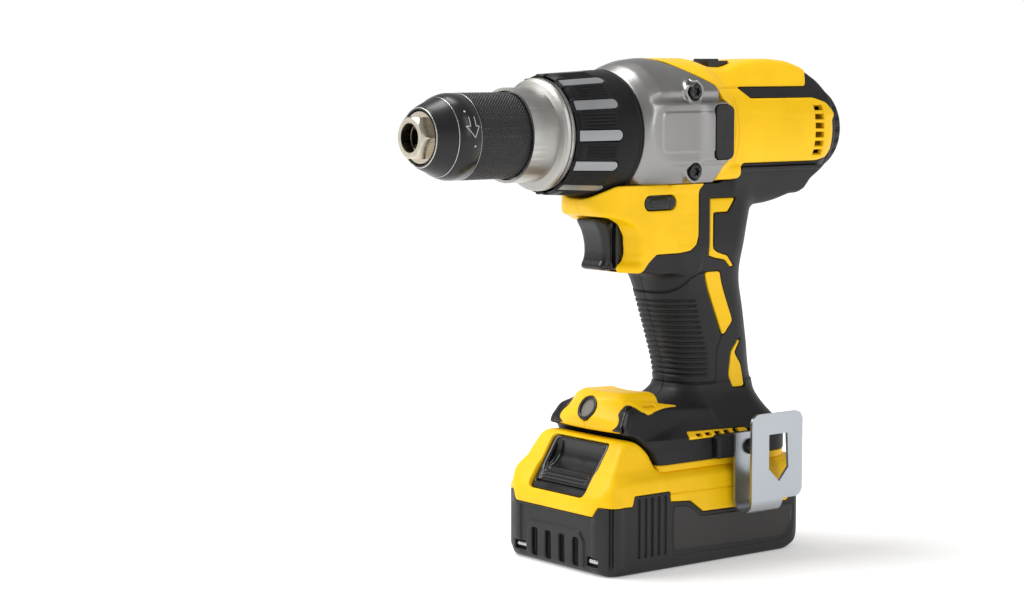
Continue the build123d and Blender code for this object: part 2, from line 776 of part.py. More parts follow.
# ---- belt clip ---------------------------------------------------------------------------
def belt_clip():
    """Bent steel strip: screwed leg, bottom bend and a wide outer leaf with a window."""
    low, top = 32.0, 66.5
    outer = CLIP_LEAF_X + CLIP_THICKNESS
    leg = block((CLIP_LEG_X, CLIP_LEG_X + CLIP_THICKNESS), (CLIP_FRONT, CLIP_REAR - 14), (low, top))
    bend_radius = (outer - CLIP_LEG_X) / 2
    bend = Pos(CLIP_LEG_X + bend_radius, (CLIP_FRONT + CLIP_REAR - 14) / 2, low + 0) * Rot(90, 0, 0) * (
        Cylinder(bend_radius, CLIP_REAR - 14 - CLIP_FRONT)
        - Cylinder(bend_radius - CLIP_THICKNESS, CLIP_REAR)
    )
    bend &= block((0, FAR), (-FAR, FAR), (0, low))
    leaf = block((CLIP_LEAF_X, outer), (CLIP_FRONT, CLIP_REAR), (low, 77.0))
    leaf = fillet(leaf.edges().filter_by(Axis.X), 5.0)
    leaf += block((CLIP_LEAF_X, outer), (CLIP_FRONT, CLIP_REAR - 14), (low, low + 6))
    window = side_plate([(28, 66), (41, 66), (42, 48), (35.5, 41), (28, 48)], FAR / 2)
    leaf -= window & block((CLIP_LEAF_X - 1, FAR), (-FAR, FAR), (0, FAR))
    clip = leg + bend + leaf
    return clip - across(40, 46, CLIP_HOLE_Y, CLIP_HOLE_Z, 2.3)


def belt_clip_screw():
    leg_face = CLIP_LEG_X + CLIP_THICKNESS
    head = across(leg_face, leg_face + 3, CLIP_HOLE_Y, CLIP_HOLE_Z, 4.2)
    socket = across(CLIP_LEG_X + 3.4, CLIP_LEG_X + 6, CLIP_HOLE_Y, CLIP_HOLE_Z, 1.8)
    shank = across(34, leg_face, CLIP_HOLE_Y, CLIP_HOLE_Z, CLIP_THREAD_RADIUS - RUNNING_PLAY)
    return head + shank - socket


# ---- battery pack ------------------------------------------------------------------------
LATCH_MIDDLE = Vector(0, -58.2, 51.5)
LATCH_LEAN = 57.0          # degrees from level of the pack's sloping front
LATCH_LENGTH, LATCH_WIDTH, LATCH_DEPTH = 31.0, 44.0, 8.0


def on_latch_slope(shape):
    """Place a shape drawn about the origin on the pack's sloping front."""
    return Pos(*LATCH_MIDDLE) * Rot(LATCH_LEAN, 0, 0) * shape


def pack_plan(z0, z1, inset=0.0):
    return column(
        PACK_HALF_WIDTH - inset, PACK_FRONT + inset, PACK_REAR - inset, z0, z1, PACK_CORNER - inset
    )


def pack_lower_case():
    """Lower tray with the recessed rib panel at the front and grip ribs on the sides."""
    case = pack_plan(0, PACK_SPLIT_Z)
    case = chamfer(case.faces().sort_by(Axis.Z)[0].edges(), 2.5)
    case -= pack_plan(2.6, PACK_SPLIT_Z + 1, 2.6)
    for index in range(4):
        x = (index - 1.5) * 11
        case -= block((x - 2.6, x + 2.6), (PACK_FRONT - 1, PACK_FRONT + 1.4), (5, 20))
    for side in (-1, 1):
        for index in range(5):
            y = -46.5 + 4.4 * index
            case -= block((side * (PACK_HALF_WIDTH - 1), side * 44), (y - 0.9, y + 0.9), (8, 33))
    for x, y in PACK_SCREW_PLACES:
        case += upright(x, y, 1.0, 12, 5.0)
        case -= upright(x, y, -1, 2.6, 3.8)
        case -= upright(x, y, -1, 13, 1.6)
    return case


PACK_SCREW_PLACES = tuple((x, y) for x in (-33, 33) for y in (-59, 61))


def pack_screws():
    return [upright(x, y, 0.6, 2.6, 3.4) + upright(x, y, 2.6, 11, 1.6) for x, y in PACK_SCREW_PLACES]


def pack_upper_outside(inset):
    """Outer form of the upper case: sloping front hump, shoulders and flat deck."""
    profile = [
        (PACK_FRONT + inset, PACK_SPLIT_Z),
        (-68 + inset, 38),
        (-50 + inset, 65 - inset),
        (-47 + inset, 66.8 - inset),
        (-41.4 - inset * 0.5, 66.8 - inset),
        (-34.6 - inset, 60 - inset * 0.5),
        (-29.6 - inset, PACK_DECK_Z - inset),
        (67 - inset, PACK_DECK_Z - inset),
        (PACK_REAR - inset, 43),
        (PACK_REAR - inset, PACK_SPLIT_Z),
    ]
    section = [
        (PACK_HALF_WIDTH - inset, PACK_SPLIT_Z),
        (PACK_HALF_WIDTH - inset, 41),
        (38.6 - inset, PACK_DECK_Z - inset),
        (33 - inset, 67 - inset),
    ]
    mirrored = [(-x, z) for x, z in reversed(section)]
    shape = side_plate(profile, FAR / 2) & front_plate(section + mirrored, -FAR, FAR)
    return shape & pack_plan(PACK_SPLIT_Z, 80, inset)


def pack_upper_case():
    """Upper case with the guide tower, its terminal slots and the latch window."""
    case = pack_upper_outside(0) - pack_upper_outside(2.6)
    case -= pack_plan(PACK_SPLIT_Z - 1, PACK_SPLIT_Z + 3, 2.6)
    tower = block((-TOWER_HALF_WIDTH, TOWER_HALF_WIDTH), (-29.8, 54), (PACK_DECK_Z - 1, TOWER_TOP_Z))
    for side in (-1, 1):
        groove_x = (side * (TOWER_HALF_WIDTH - 2.8), side * 30)
        tower -= block(groove_x, (-30, 55), (53.1, 55.9))
    case += tower
    case -= block(
        (-TOWER_HALF_WIDTH + 6, TOWER_HALF_WIDTH - 6), (-26, 50), (PACK_DECK_Z - 5, TOWER_TOP_Z - 2.5)
    )
    for x in TERMINAL_PLACES:
        case -= block((x - 1.2, x + 1.2), (24, 55), (51, 62))
    window = Box(LATCH_WIDTH + 2 * SLIDING_PLAY, LATCH_LENGTH + 2 * SLIDING_PLAY, 40)
    return case - on_latch_slope(window)


TERMINAL_PLACES = (-14, -7, 0, 7, 14)


def pack_latch():
    """Release button on the pack's sloping front, with a scooped finger pad."""
    plate = Pos(0, 0, -LATCH_DEPTH / 2) * Box(LATCH_WIDTH, LATCH_LENGTH, LATCH_DEPTH)
    plate = fillet(plate.edges().filter_by(Axis.Z), 3.0)
    scoop = Pos(0, 3, 5) * Rot(0, 90, 0) * Cylinder(9.5, LATCH_WIDTH - 6)
    for index in range(5):
        plate -= Pos(0, -1 - 2.0 * index, 0) * Box(LATCH_WIDTH - 10, 0.8, 1.2)
    return on_latch_slope(plate - scoop)


CELL_PLACES = tuple((-38.5 + 19.6 * column_index, z) for column_index in range(5) for z in (12.4, 31.6))


def pack_cells():
    return [across(-CELL_LENGTH / 2, CELL_LENGTH / 2, y, z, CELL_RADIUS) for y, z in CELL_PLACES]


def cell_holder(side):
    """Moulded frame that holds one end of every cell."""
    frame = block((side * 22, side * 34), (-48.5, 50), (2.8, 41.4))
    for y, z in CELL_PLACES:
        frame -= across(side * 20, side * CELL_LENGTH / 2, y, z, CELL_RADIUS)
    return frame


def terminal_board():
    """Circuit board over the cells with one spring contact in each slot."""
    board = block((-24, 24), (-20, 46), (42.0, 43.6))
    for x in TERMINAL_PLACES:
        board += block((x - 1.0, x - 0.6), (26, 40), (43.6, 56))
    return board


def tool_terminals():
    """Tool-side contact block with blades that enter the pack's slots."""
    base = block((-20, 20), (54.6, 57.8), (50.4, 61.8))
    for x in TERMINAL_PLACES:
        base += block((x - 0.2, x + 0.6), (30, 55), (52.5, 59))
    return base


def build():
    write("chuck_body", chuck_body())
    write("chuck_sleeve", chuck_sleeve())
    for index in range(3):
        write(f"chuck_jaw_{index + 1}", about_spindle(jaw(), 120 * index))
    write("chuck_screw", chuck_screw())
    write("spindle", spindle())
    write("spindle_bearing", ring(-95.8, -87, 17.0, 8.5))
    for index in range(PLANETS):
        write(f"output_planet_{index + 1}", planet(STAGE_FRONTS["output"], index))
        write(f"input_planet_{index + 1}", planet(STAGE_FRONTS["input"], index))
    write("output_ring_gear", ring_gear(STAGE_FRONTS["output"]))
    write("input_ring_gear", ring_gear(STAGE_FRONTS["input"]))
    write("input_carrier", carrier())
    write("rotor_shaft", rotor_shaft())
    write("rotor_core", ring(16, 64, ROTOR_RADIUS, SHAFT_RADIUS))
    write("cooling_fan", cooling_fan())
    write("motor_can", motor_can())
    write("motor_plate", motor_plate())
    bearing = ring(-18, -11, 11.0, SHAFT_RADIUS + RUNNING_PLAY)
    write("motor_bearings", bearing, ring(98, 104, 5.5, SHAFT_RADIUS + RUNNING_PLAY))
    write("nose_collar", nose_collar())
    write("gear_case", gear_case())
    write("gear_case_screws", *gear_case_screws())
    write("clutch_collar", clutch_collar())
    write("clutch_stripes", *clutch_stripes())
    body = plastic_body()
    write("housing_left", left_of(body))
    write("housing_right", right_of(body))
    rubber = grip_rubber()
    write("grip_rubber_left", left_of(rubber))
    write("grip_rubber_right", right_of(rubber))
    write("rear_cap", rear_cap())
    write("side_bumper_left", bumper(1))
    write("side_bumper_right", bumper(-1))
    write("housing_screws", *housing_screws())
    write("trigger", trigger())
    write("direction_button", oval_bar(-24.2, 24.2))
    write("speed_selector", speed_selector())
    write("switch_body", switch_body())
    write("control_board", block((-24, 24), (-12, 50), (63.5, 65.1)) + block((-12, 12), (0, 22), (65.1, 69)))
    write("worklight_lens", lamp_cylinder(5.4, -3.0, -0.8))
    write("worklight_board", lamp_cylinder(5.2, -5.0, -3.4))
    write("tool_terminals", tool_terminals())
    write("belt_clip", belt_clip())
    write("belt_clip_screw", belt_clip_screw())
    write("pack_lower_case", pack_lower_case())
    write("pack_upper_case", pack_upper_case())
    write("pack_screws", *pack_screws())
    write("pack_cells", *pack_cells())
    write("cell_holder_left", cell_holder(1))
    write("cell_holder_right", cell_holder(-1))
    write("terminal_board", terminal_board())
    write("pack_latch", pack_latch())


build()
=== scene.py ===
import json
import math
from concurrent.futures import ThreadPoolExecutor

import bpy
import numpy as np
import openvdb
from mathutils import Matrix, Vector


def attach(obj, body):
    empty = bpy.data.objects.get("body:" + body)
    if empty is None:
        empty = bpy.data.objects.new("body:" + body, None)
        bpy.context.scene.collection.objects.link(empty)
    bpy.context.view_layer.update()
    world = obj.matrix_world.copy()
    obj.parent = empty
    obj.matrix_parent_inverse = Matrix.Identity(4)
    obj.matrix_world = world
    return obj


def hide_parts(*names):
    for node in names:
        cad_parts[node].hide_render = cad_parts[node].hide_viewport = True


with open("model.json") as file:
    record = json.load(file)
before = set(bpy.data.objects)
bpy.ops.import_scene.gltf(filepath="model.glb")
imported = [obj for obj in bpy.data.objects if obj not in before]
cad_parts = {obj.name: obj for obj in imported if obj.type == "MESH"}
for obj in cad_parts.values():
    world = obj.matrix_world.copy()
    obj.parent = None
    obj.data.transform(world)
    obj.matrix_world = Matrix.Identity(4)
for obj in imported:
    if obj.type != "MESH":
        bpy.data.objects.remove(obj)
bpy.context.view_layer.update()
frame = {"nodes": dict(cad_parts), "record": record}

# All shapes are drawn in millimetres in the part's own frame: the pack rests on Z = 0, the chuck
# points along -Y and the left side of the tool is +X. Meshes are scaled to metres at the end.
MM = 0.001
SPINDLE_Z = 221.0
STEP = 0.5      # grid step of the moulded shapes
SEAM = 0.04                            # half the gap between two mirrored halves
FAR = 100.0                            # added to a field where it is to have no effect


# ---- fields: negative inside, positive outside ----
def union(a, b, blend=0.0):
    if blend <= 0:
        return np.minimum(a, b)
    return np.minimum(a, b) - np.maximum(blend - np.abs(a - b), 0) ** 2 / (4 * blend)


def both(a, b, blend=0.0):
    return -union(-a, -b, blend)


def without(a, b, blend=0.0):
    return both(a, -b, blend)


def every(*fields, blend=0.0):
    result = fields[0]
    for field in fields[1:]:
        result = both(result, field, blend)
    return result


def carved(body, *cuts):
    """Body with each (field, blend) taken away in turn."""
    for cut, blend in cuts:
        body = without(body, cut, blend)
    return body


def ramp(value, start, end):
    t = np.clip((value - start) / (end - start), 0, 1)
    return t * t * (3 - 2 * t)


def band(value, start, full, fade, end):
    """1 between full and fade, easing to 0 at start and end."""
    return ramp(value, start, full) * (1 - ramp(value, fade, end))


def slab(value, low, high):
    return np.maximum(low - value, value - high)


def block(x, y, z, x_range, y_range, z_range, corner=0.0):
    """Box between two values on each axis, with rounded edges."""
    q = [np.abs(value - (low + high) / 2) - (high - low) / 2 + corner
         for value, (low, high) in ((x, x_range), (y, y_range), (z, z_range))]
    outside = np.sqrt(sum(np.maximum(part, 0) ** 2 for part in q))
    return outside + np.minimum(np.maximum(np.maximum(q[0], q[1]), q[2]), 0) - corner


def oval(u, v, half_u, half_v, corner):
    """Rounded rectangle in a plane."""
    a, b = np.abs(u) - half_u + corner, np.abs(v) - half_v + corner
    return np.hypot(np.maximum(a, 0), np.maximum(b, 0)) + np.minimum(np.maximum(a, b), 0) - corner


def from_spindle(x, z):
    return np.hypot(x, z - SPINDLE_Z)


class Outline:
    """Distance to a closed outline of (u, v) corners, softened by rounding, read from a fine grid."""

    def __init__(self, corners, rounding=1.0, cell=0.3, margin=8.0):
        corners = np.array(corners, float)
        self.cell, self.low = cell, corners.min(0) - margin
        count = np.ceil((corners.max(0) + margin - self.low) / cell).astype(int) + 1
        u, v = np.meshgrid(*(self.low[k] + cell * np.arange(count[k]) for k in (0, 1)), indexing="ij")
        nearest, inside = np.full(u.shape, np.inf), np.zeros(u.shape, bool)
        for a, b in zip(corners, np.roll(corners, -1, 0)):
            edge = b - a
            t = np.clip(((u - a[0]) * edge[0] + (v - a[1]) * edge[1]) / max(edge @ edge, 1e-9), 0, 1)
            nearest = np.minimum(nearest, (u - a[0] - t * edge[0]) ** 2 + (v - a[1] - t * edge[1]) ** 2)
            if a[1] != b[1]:
                crosses = (a[1] > v) != (b[1] > v)
                inside ^= crosses & (u < a[0] + (v - a[1]) * edge[0] / edge[1])
        grid = np.where(inside, -1.0, 1.0) * np.sqrt(nearest)
        reach = int(round(rounding / cell / 2))
        for _ in range(3 if reach else 0):
            for axis in (0, 1):
                grid = self.averaged(grid, reach, axis)
        self.grid = grid.astype(np.float32)

    @staticmethod
    def averaged(grid, reach, axis):
        padding = [(reach + 1, reach) if k == axis else (0, 0) for k in (0, 1)]
        total = np.cumsum(np.pad(grid, padding, mode="edge"), axis)
        width = 2 * reach + 1
        ahead = np.take(total, range(width, total.shape[axis]), axis)
        behind = np.take(total, range(0, total.shape[axis] - width), axis)
        return (ahead - behind) / width

    def __call__(self, u, v):
        place = [(value - self.low[k]) / self.cell for k, value in enumerate((u, v))]
        held = [np.clip(p, 0, n - 1.001) for p, n in zip(place, self.grid.shape)]
        i, j = (h.astype(np.int32) for h in held)
        s, t = held[0] - i, held[1] - j
        g = self.grid
        near = g[i, j] * (1 - s) + g[i + 1, j] * s
        far = g[i, j + 1] * (1 - s) + g[i + 1, j + 1] * s
        return near * (1 - t) + far * t + self.cell * np.hypot(place[0] - held[0], place[1] - held[1])


def paired(corners, rounding):
    """Outline that is the same on both sides of u = 0, from the corners on one side."""
    return Outline(corners + [(-u, v) for u, v in reversed(corners)], rounding)


# ---- meshing ----
def field_values(field, points):
    """Field at (n, 3) points, a slice at a time."""
    slices = np.array_split(points.astype(np.float32), max(1, len(points) // 60000))
    with ThreadPoolExecutor(4) as pool:
        return np.concatenate(list(pool.map(lambda p: field(*p.T), slices)))


def contour(field, low, high, step=STEP):
    """Vertices and quads of the surface where the field is zero, between two corners."""
    low, side, reach = np.array(low, float), 8, 3 * step
    blocks = np.ceil((np.array(high, float) - low) / (step * side)).astype(int)
    index = np.stack(np.meshgrid(*(np.arange(n) for n in blocks), indexing="ij"), -1).reshape(-1, 3)
    # Only blocks of cells near the surface are worked out; the others hold the sign of their middle.
    rough = field_values(field, low + (index * side + side / 2) * step)
    near = np.abs(rough) < step * side * 1.25
    grid = np.repeat(np.repeat(np.repeat(np.sign(rough).reshape(blocks), side, 0), side, 1), side, 2)
    grid = (grid * reach).astype(np.float32)
    cell = np.stack(np.meshgrid(*[np.arange(side)] * 3, indexing="ij"), -1).reshape(-1, 3)
    spots = (index[near][:, None, :] * side + cell[None]).reshape(-1, 3)
    values = field_values(field, low + spots * step)
    grid[spots[:, 0], spots[:, 1], spots[:, 2]] = np.clip(values, -reach, reach)
    volume = openvdb.FloatGrid(reach)
    volume.copyFromArray(np.pad(grid, 1, constant_values=reach))
    points, quads = volume.convertToQuads()
    points = low + (points - 1.0) * step
    for _ in range(2):
        points = snapped(field, points, step)
    return points, quads.astype(np.int64)


def snapped(field, points, step):
    """Points moved onto the zero surface along the field's slope."""
    nudge = 0.12
    value = field_values(field, points)
    slope = [field_values(field, points + nudge * np.eye(3)[k]) - value for k in range(3)]
    slope = np.stack(slope, 1) / nudge
    size = np.maximum((slope ** 2).sum(1), 0.25)
    move = -slope * (value / size)[:, None]
    length = np.linalg.norm(move, axis=1, keepdims=True)
    return points + move * np.minimum(1, 0.6 * step / np.maximum(length, 1e-9))


def mirrored(shape):
    return shape[0] * np.array([-1, 1, 1]), shape[1][:, ::-1]


def joined(*shapes):
    points, faces, count = [], [], 0
    for p, f in shapes:
        points.append(p)
        faces.append(np.asarray(f) + count)
        count += len(p)
    return np.concatenate(points), np.concatenate(faces)


def about_spindle(shape, degrees):
    """Shape turned about the spindle, from +X towards +Z."""
    points, faces = shape
    c, s = math.cos(math.radians(degrees)), math.sin(math.radians(degrees))
    x, z = points[:, 0], points[:, 2] - SPINDLE_Z
    return np.stack([c * x - s * z, points[:, 1], SPINDLE_Z + s * x + c * z], 1), faces


def resampled(corners, spacing):
    """Points along a polyline, its corners kept."""
    out = []
    for a, b in zip(corners, corners[1:]):
        count = max(1, int(math.ceil(math.dist(a, b) / spacing)))
        out += [tuple(np.array(a) + (np.array(b) - np.array(a)) * k / count) for k in range(count)]
    return np.array(out + [corners[-1]], float)


def grid_faces(rows, around, closed=False):
    """Quads between rows of points that go round, the last row joined to the first when closed."""
    i, j = np.meshgrid(np.arange(rows if closed else rows - 1), np.arange(around), indexing="ij")
    i2, j2 = (i + 1) % rows, (j + 1) % around
    corners = [row * around + column for row, column in ((i, j), (i2, j), (i2, j2), (i, j2))]
    return np.stack(corners, -1).reshape(-1, 4)


def turned(profile, around, height=None, spacing=0.6, closed=False):
    """Surface of revolution about the spindle of (y, radius) points, raised by height(y, radius, angle)."""
    loop = list(profile) + ([profile[0]] if closed else [])
    line = resampled(loop, spacing)[: -1 if closed else None]
    angle = 2 * math.pi * np.arange(around) / around
    y, a = np.meshgrid(line[:, 0], angle, indexing="ij")
    radius = np.repeat(line[:, 1:2], around, 1)
    if height:
        radius = radius + height(y, radius, a)
    points = np.stack([radius * np.cos(a), y, SPINDLE_Z + radius * np.sin(a)], -1).reshape(-1, 3)
    return points, grid_faces(len(line), around, closed)


# ---- materials ----
def new_node(tree, kind, **values):
    """Shader node with some of its inputs set; _ stands for a space in their names."""
    node = tree.nodes.new("ShaderNode" + kind)
    for name, value in values.items():
        node.inputs[name.replace("_", " ")].default_value = value
    return node


def material(name, colour, roughness, metallic=0.0, grain=900.0, relief=0.02, mottling=0.06,
             edge_highlight=None, brushed=None, coat=0.0, glass=0.0, shine=0.5, uneven=0.06):
    """Procedural finish: mottled colour, uneven roughness, a relief in mm and a painted highlight on convex
    edges.
    """
    made = bpy.data.materials.new(name)
    made.use_nodes = True
    tree = made.node_tree
    links, shader = tree.links, tree.nodes["Principled BSDF"]
    shader.inputs["Metallic"].default_value = metallic
    shader.inputs["Coat Weight"].default_value = coat
    shader.inputs["Transmission Weight"].default_value = glass
    shader.inputs["Specular IOR Level"].default_value = shine
    place = new_node(tree, "TexCoord").outputs["Object"]

    def noise(scale, detail=3.0, stretch=None):
        node = new_node(tree, "TexNoise", Scale=scale, Detail=detail)
        source = place
        if stretch:
            squeeze = new_node(tree, "Mapping", Scale=stretch)
            links.new(place, squeeze.inputs["Vector"])
            source = squeeze.outputs["Vector"]
        links.new(source, node.inputs["Vector"])
        return node.outputs["Fac"]

    def spread(source, low, high):
        node = new_node(tree, "MapRange", From_Min=0.3, From_Max=0.7, To_Min=low, To_Max=high)
        links.new(source, node.inputs["Value"])
        return node.outputs["Result"]

    def mixed(factor, a, b):
        node = new_node(tree, "Mix")
        node.data_type = "RGBA"
        links.new(factor, node.inputs["Factor"])
        for key, value in (("A", a), ("B", b)):
            socket = next(s for s in node.inputs if s.name == key and s.type == "RGBA")
            if isinstance(value, tuple):
                socket.default_value = (*value, 1)
            else:
                links.new(value, socket)
        return next(s for s in node.outputs if s.type == "RGBA")

    darker = tuple(c * (1 - mottling) for c in colour)
    lighter = tuple(min(1, c * (1 + mottling) + 0.004) for c in colour)
    shade = mixed(spread(noise(35), 0, 1), darker, lighter)
    # Painted highlight: convex edges, found by pointiness, are lightened in patches towards the given
    # colour.
    if edge_highlight:
        edges = new_node(tree, "MapRange", From_Min=0.53, From_Max=0.62, To_Max=0.75)
        links.new(new_node(tree, "NewGeometry").outputs["Pointiness"], edges.inputs["Value"])
        patchy = new_node(tree, "Math")
        patchy.operation = "MULTIPLY"
        links.new(edges.outputs["Result"], patchy.inputs[0])
        links.new(spread(noise(260), 0.2, 1), patchy.inputs[1])
        shade = mixed(patchy.outputs["Value"], shade, edge_highlight)
    links.new(shade, shader.inputs["Base Color"])
    patches = spread(noise(70, 5), roughness - uneven, roughness + uneven)
    links.new(patches, shader.inputs["Roughness"])
    bump = new_node(tree, "Bump", Distance=relief * MM, Strength=1.0)
    links.new(noise(grain, 4, brushed), bump.inputs["Height"])
    links.new(bump.outputs["Normal"], shader.inputs["Normal"])
    return made


def grey(value):
    return (value, value, value)


M = {
    "housing_yellow": material("yellow_plastic", (0.88, 0.52, 0.0), 0.38, grain=1600, relief=0.035,
                               edge_highlight=(0.92, 0.62, 0.06), shine=0.22),
    "grip_rubber": material("black_rubber", (0.008, 0.008, 0.009), 0.50, grain=1300, relief=0.06,
                            mottling=0.25, edge_highlight=(0.03, 0.03, 0.032), shine=0.3),
    "case_aluminium": material("cast_aluminium", (0.29, 0.285, 0.28), 0.34, 0.9, grain=1500,
                               relief=0.05, edge_highlight=(0.55, 0.55, 0.54)),
    "collar_aluminium": material("turned_aluminium", (0.38, 0.37, 0.35), 0.38, 1.0, relief=0.006,
                                 brushed=(0.15, 9, 0.15), edge_highlight=(0.75, 0.75, 0.73)),
    "nose_steel": material("nickel_steel", (0.52, 0.47, 0.38), 0.24, 1.0, grain=700, relief=0.008,
                           edge_highlight=(0.85, 0.8, 0.7)),
    "sleeve_black": material("black_satin", (0.007, 0.007, 0.008), 0.30, grain=1200, mottling=0.2,
                             edge_highlight=grey(0.12), coat=0.06, shine=0.35),
    "clutch_black": material("clutch_plastic", (0.006, 0.006, 0.007), 0.40, grain=1500,
                             relief=0.04, mottling=0.2, edge_highlight=grey(0.025), shine=0.16),
    "stripe_grey": material("stripe_paint", (0.30, 0.31, 0.32), 0.36, 0.55, grain=1200),
    "gear_steel": material("gear_steel", grey(0.50), 0.3, 1.0, grain=700, relief=0.01),
    "screw_black": material("screw_black", grey(0.012), 0.32, 0.5, grain=1500, relief=0.01,
                            edge_highlight=grey(0.16)),
    "motor_steel": material("motor_steel", (0.32, 0.32, 0.33), 0.4, 0.9, grain=800),
    "fan_black": material("fan_nylon", grey(0.02), 0.5, grain=1200, relief=0.03, mottling=0.2),
    "board_green": material("circuit_board", (0.012, 0.09, 0.04), 0.35, grain=600, mottling=0.3),
    "contact_brass": material("contact_brass", (0.65, 0.45, 0.16), 0.3, 1.0, grain=700,
                              relief=0.01),
    "cell_wrap": material("cell_wrap", (0.10, 0.16, 0.42), 0.3, grain=500, mottling=0.15),
    "lens_clear": material("lamp_lens", (0.26, 0.24, 0.21), 0.10, grain=300, glass=0.2, coat=0.6),
    "latch_black": material("gloss_black", (0.005, 0.005, 0.006), 0.20, grain=1200, relief=0.015,
                            mottling=0.2, edge_highlight=grey(0.04), coat=0.15, shine=0.35),
    "pack_dark": material("dark_plastic", (0.013, 0.013, 0.014), 0.42, grain=1700, relief=0.05,
                          mottling=0.12, edge_highlight=grey(0.04), shine=0.3),
    "clip_steel": material("zinc_steel", (0.42, 0.45, 0.48), 0.31, 0.95, grain=700, relief=0.012,
                           mottling=0.02, uneven=0.02),
    "trigger_black": material("trigger_plastic", (0.006, 0.006, 0.007), 0.26, grain=1500,
                              relief=0.03, mottling=0.2, edge_highlight=grey(0.03), coat=0.05, shine=0.4),
}
LABEL_GREY = material("label_film", (0.018, 0.016, 0.015), 0.38, relief=0.015, mottling=0.1, shine=0.4)
MARK_GREY = material("mark_print", (0.55, 0.56, 0.56), 0.5, grain=1500, relief=0.01)
BARE_EDGE = material("bare_edge", (0.62, 0.62, 0.60), 0.25, 1.0, relief=0.01)
JAW_STEEL = material("jaw_steel", grey(0.05), 0.32, 0.8, relief=0.01, edge_highlight=grey(0.3))

for part in frame["record"]["subparts"]:
    look = JAW_STEEL if part["node"].startswith("chuck_jaw") else M[part["material_slot"]]
    slots = frame["nodes"][part["node"]].data.materials
    slots.clear()
    slots.append(look)


def softened(node, width, limit=35):
    """Small rounding on a carried-over part's edges."""
    bevel = frame["nodes"][node].modifiers.new("edges", "BEVEL")
    bevel.width, bevel.segments = width * MM, 2
    bevel.limit_method, bevel.angle_limit = "ANGLE", math.radians(limit)


def piece(name, shape, body, slot_name, nodes=(), finish=None, flat_angle=None):
    """Mesh object of the shape, riding on a body and standing for the given nodes."""
    points, faces = shape
    mesh = bpy.data.meshes.new(name)
    mesh.vertices.add(len(points))
    mesh.vertices.foreach_set("co", (np.asarray(points, np.float32) * MM).ravel())
    sides = faces.shape[1]
    mesh.loops.add(faces.size)
    mesh.loops.foreach_set("vertex_index", faces.ravel().astype(np.int32))
    mesh.polygons.add(len(faces))
    mesh.polygons.foreach_set("loop_start", np.arange(0, faces.size, sides, dtype=np.int32))
    mesh.polygons.foreach_set("loop_total", np.full(len(faces), sides, np.int32))
    mesh.update(calc_edges=True)
    mesh.validate()
    mesh.shade_smooth()
    if flat_angle:
        mesh.set_sharp_from_angle(angle=math.radians(flat_angle))
    obj = bpy.data.objects.new(name, mesh)
    bpy.context.scene.collection.objects.link(obj)
    mesh.materials.append(finish or M[slot_name])
    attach(obj, body)
    if nodes:
        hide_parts(*nodes)
    return obj


def halves(name, field, low, high, slot_name, replaced=None, step=STEP):
    """Left and right pieces of a symmetric shape that is split along the tool's middle."""
    shape = contour(lambda x, y, z: both(field(x, y, z), SEAM - x, 0.25), low, high, step)
    for side, half in (("left", shape), ("right", mirrored(shape))):
        piece(f"{name}_{side}", half, "root", slot_name, [f"{replaced}_{side}"] if replaced else ())


def whole(field, low, high, step=STEP):
    """Shape that is the same on both sides of the middle."""
    low = (-high[0], *low[1:])
    return contour(lambda x, y, z: field(np.abs(x), y, z), low, high, step)


# ---- chuck ----
SLEEVE_OUTER = [
    (-152.4, 13.6), (-152.5, 14), (-152.3, 14.5), (-151.9, 14.7), (-151.6, 14.6), (-151.2, 15),
    (-150.6, 15.6), (-143.4, 18.7), (-142.9, 19), (-142.5, 19.35), (-142, 19.4), (-141.8, 19.25),
    (-141.4, 19.7), (-140.4, 20.3), (-137.4, 21.15), (-136, 21.3), (-130.6, 21.3), (-130.2, 20.9),
    (-129.8, 20.9), (-129.6, 21.15), (-98.9, 21.15), (-98.4, 20.9), (-97.8, 20.2), (-97.6, 19.6)
]
SLEEVE_INNER = [
    (-97.6, 15.7), (-97.9, 15.6), (-102.4, 19.1), (-135.8, 19.1), (-142.2, 17.2), (-152.4, 13.4)
]
KNURL_ROUND, KNURL_PITCH = 80, 1.66


def knurl(y, radius, angle):
    """Raised diamonds between the smooth band and the sleeve's rear edge."""
    lead = angle * KNURL_ROUND / 2
    a = np.abs(np.sin(y * math.pi / KNURL_PITCH + lead))
    b = np.abs(np.sin(y * math.pi / KNURL_PITCH - lead))
    return 0.55 * (np.minimum(a, b) - 0.45) * band(y, -129.4, -128.6, -99.6, -98.9) * (radius > 20.5)


knurl_rows = [(y, 21.15) for y in np.arange(-129.4, -98.9, KNURL_PITCH / 8)]
sleeve_profile = SLEEVE_OUTER[:-4] + knurl_rows + SLEEVE_OUTER[-3:] + SLEEVE_INNER
piece("chuck_sleeve_body", turned(sleeve_profile, 7 * KNURL_ROUND, knurl, 9, closed=True),
      "chuck_sleeve", "sleeve_black", ["chuck_sleeve"])


def hoop(y, radius, width, thickness):
    """Thin ring lying on a turned surface."""
    corners = [(y + width / 2 * math.cos(t), radius + thickness / 2 * math.sin(t))
               for t in np.linspace(0, 2 * math.pi, 12, endpoint=False)]
    return turned(corners, 180, closed=True, spacing=5)


worn_edges = [hoop(-152.25, 14.45, 0.5, 0.5), hoop(-142.3, 19.36, 0.35, 0.3), hoop(-130.3, 21.2, 0.2, 0.24)]
piece("chuck_sleeve_worn_edges", joined(*worn_edges), "chuck_sleeve", "nose_steel", finish=BARE_EDGE)


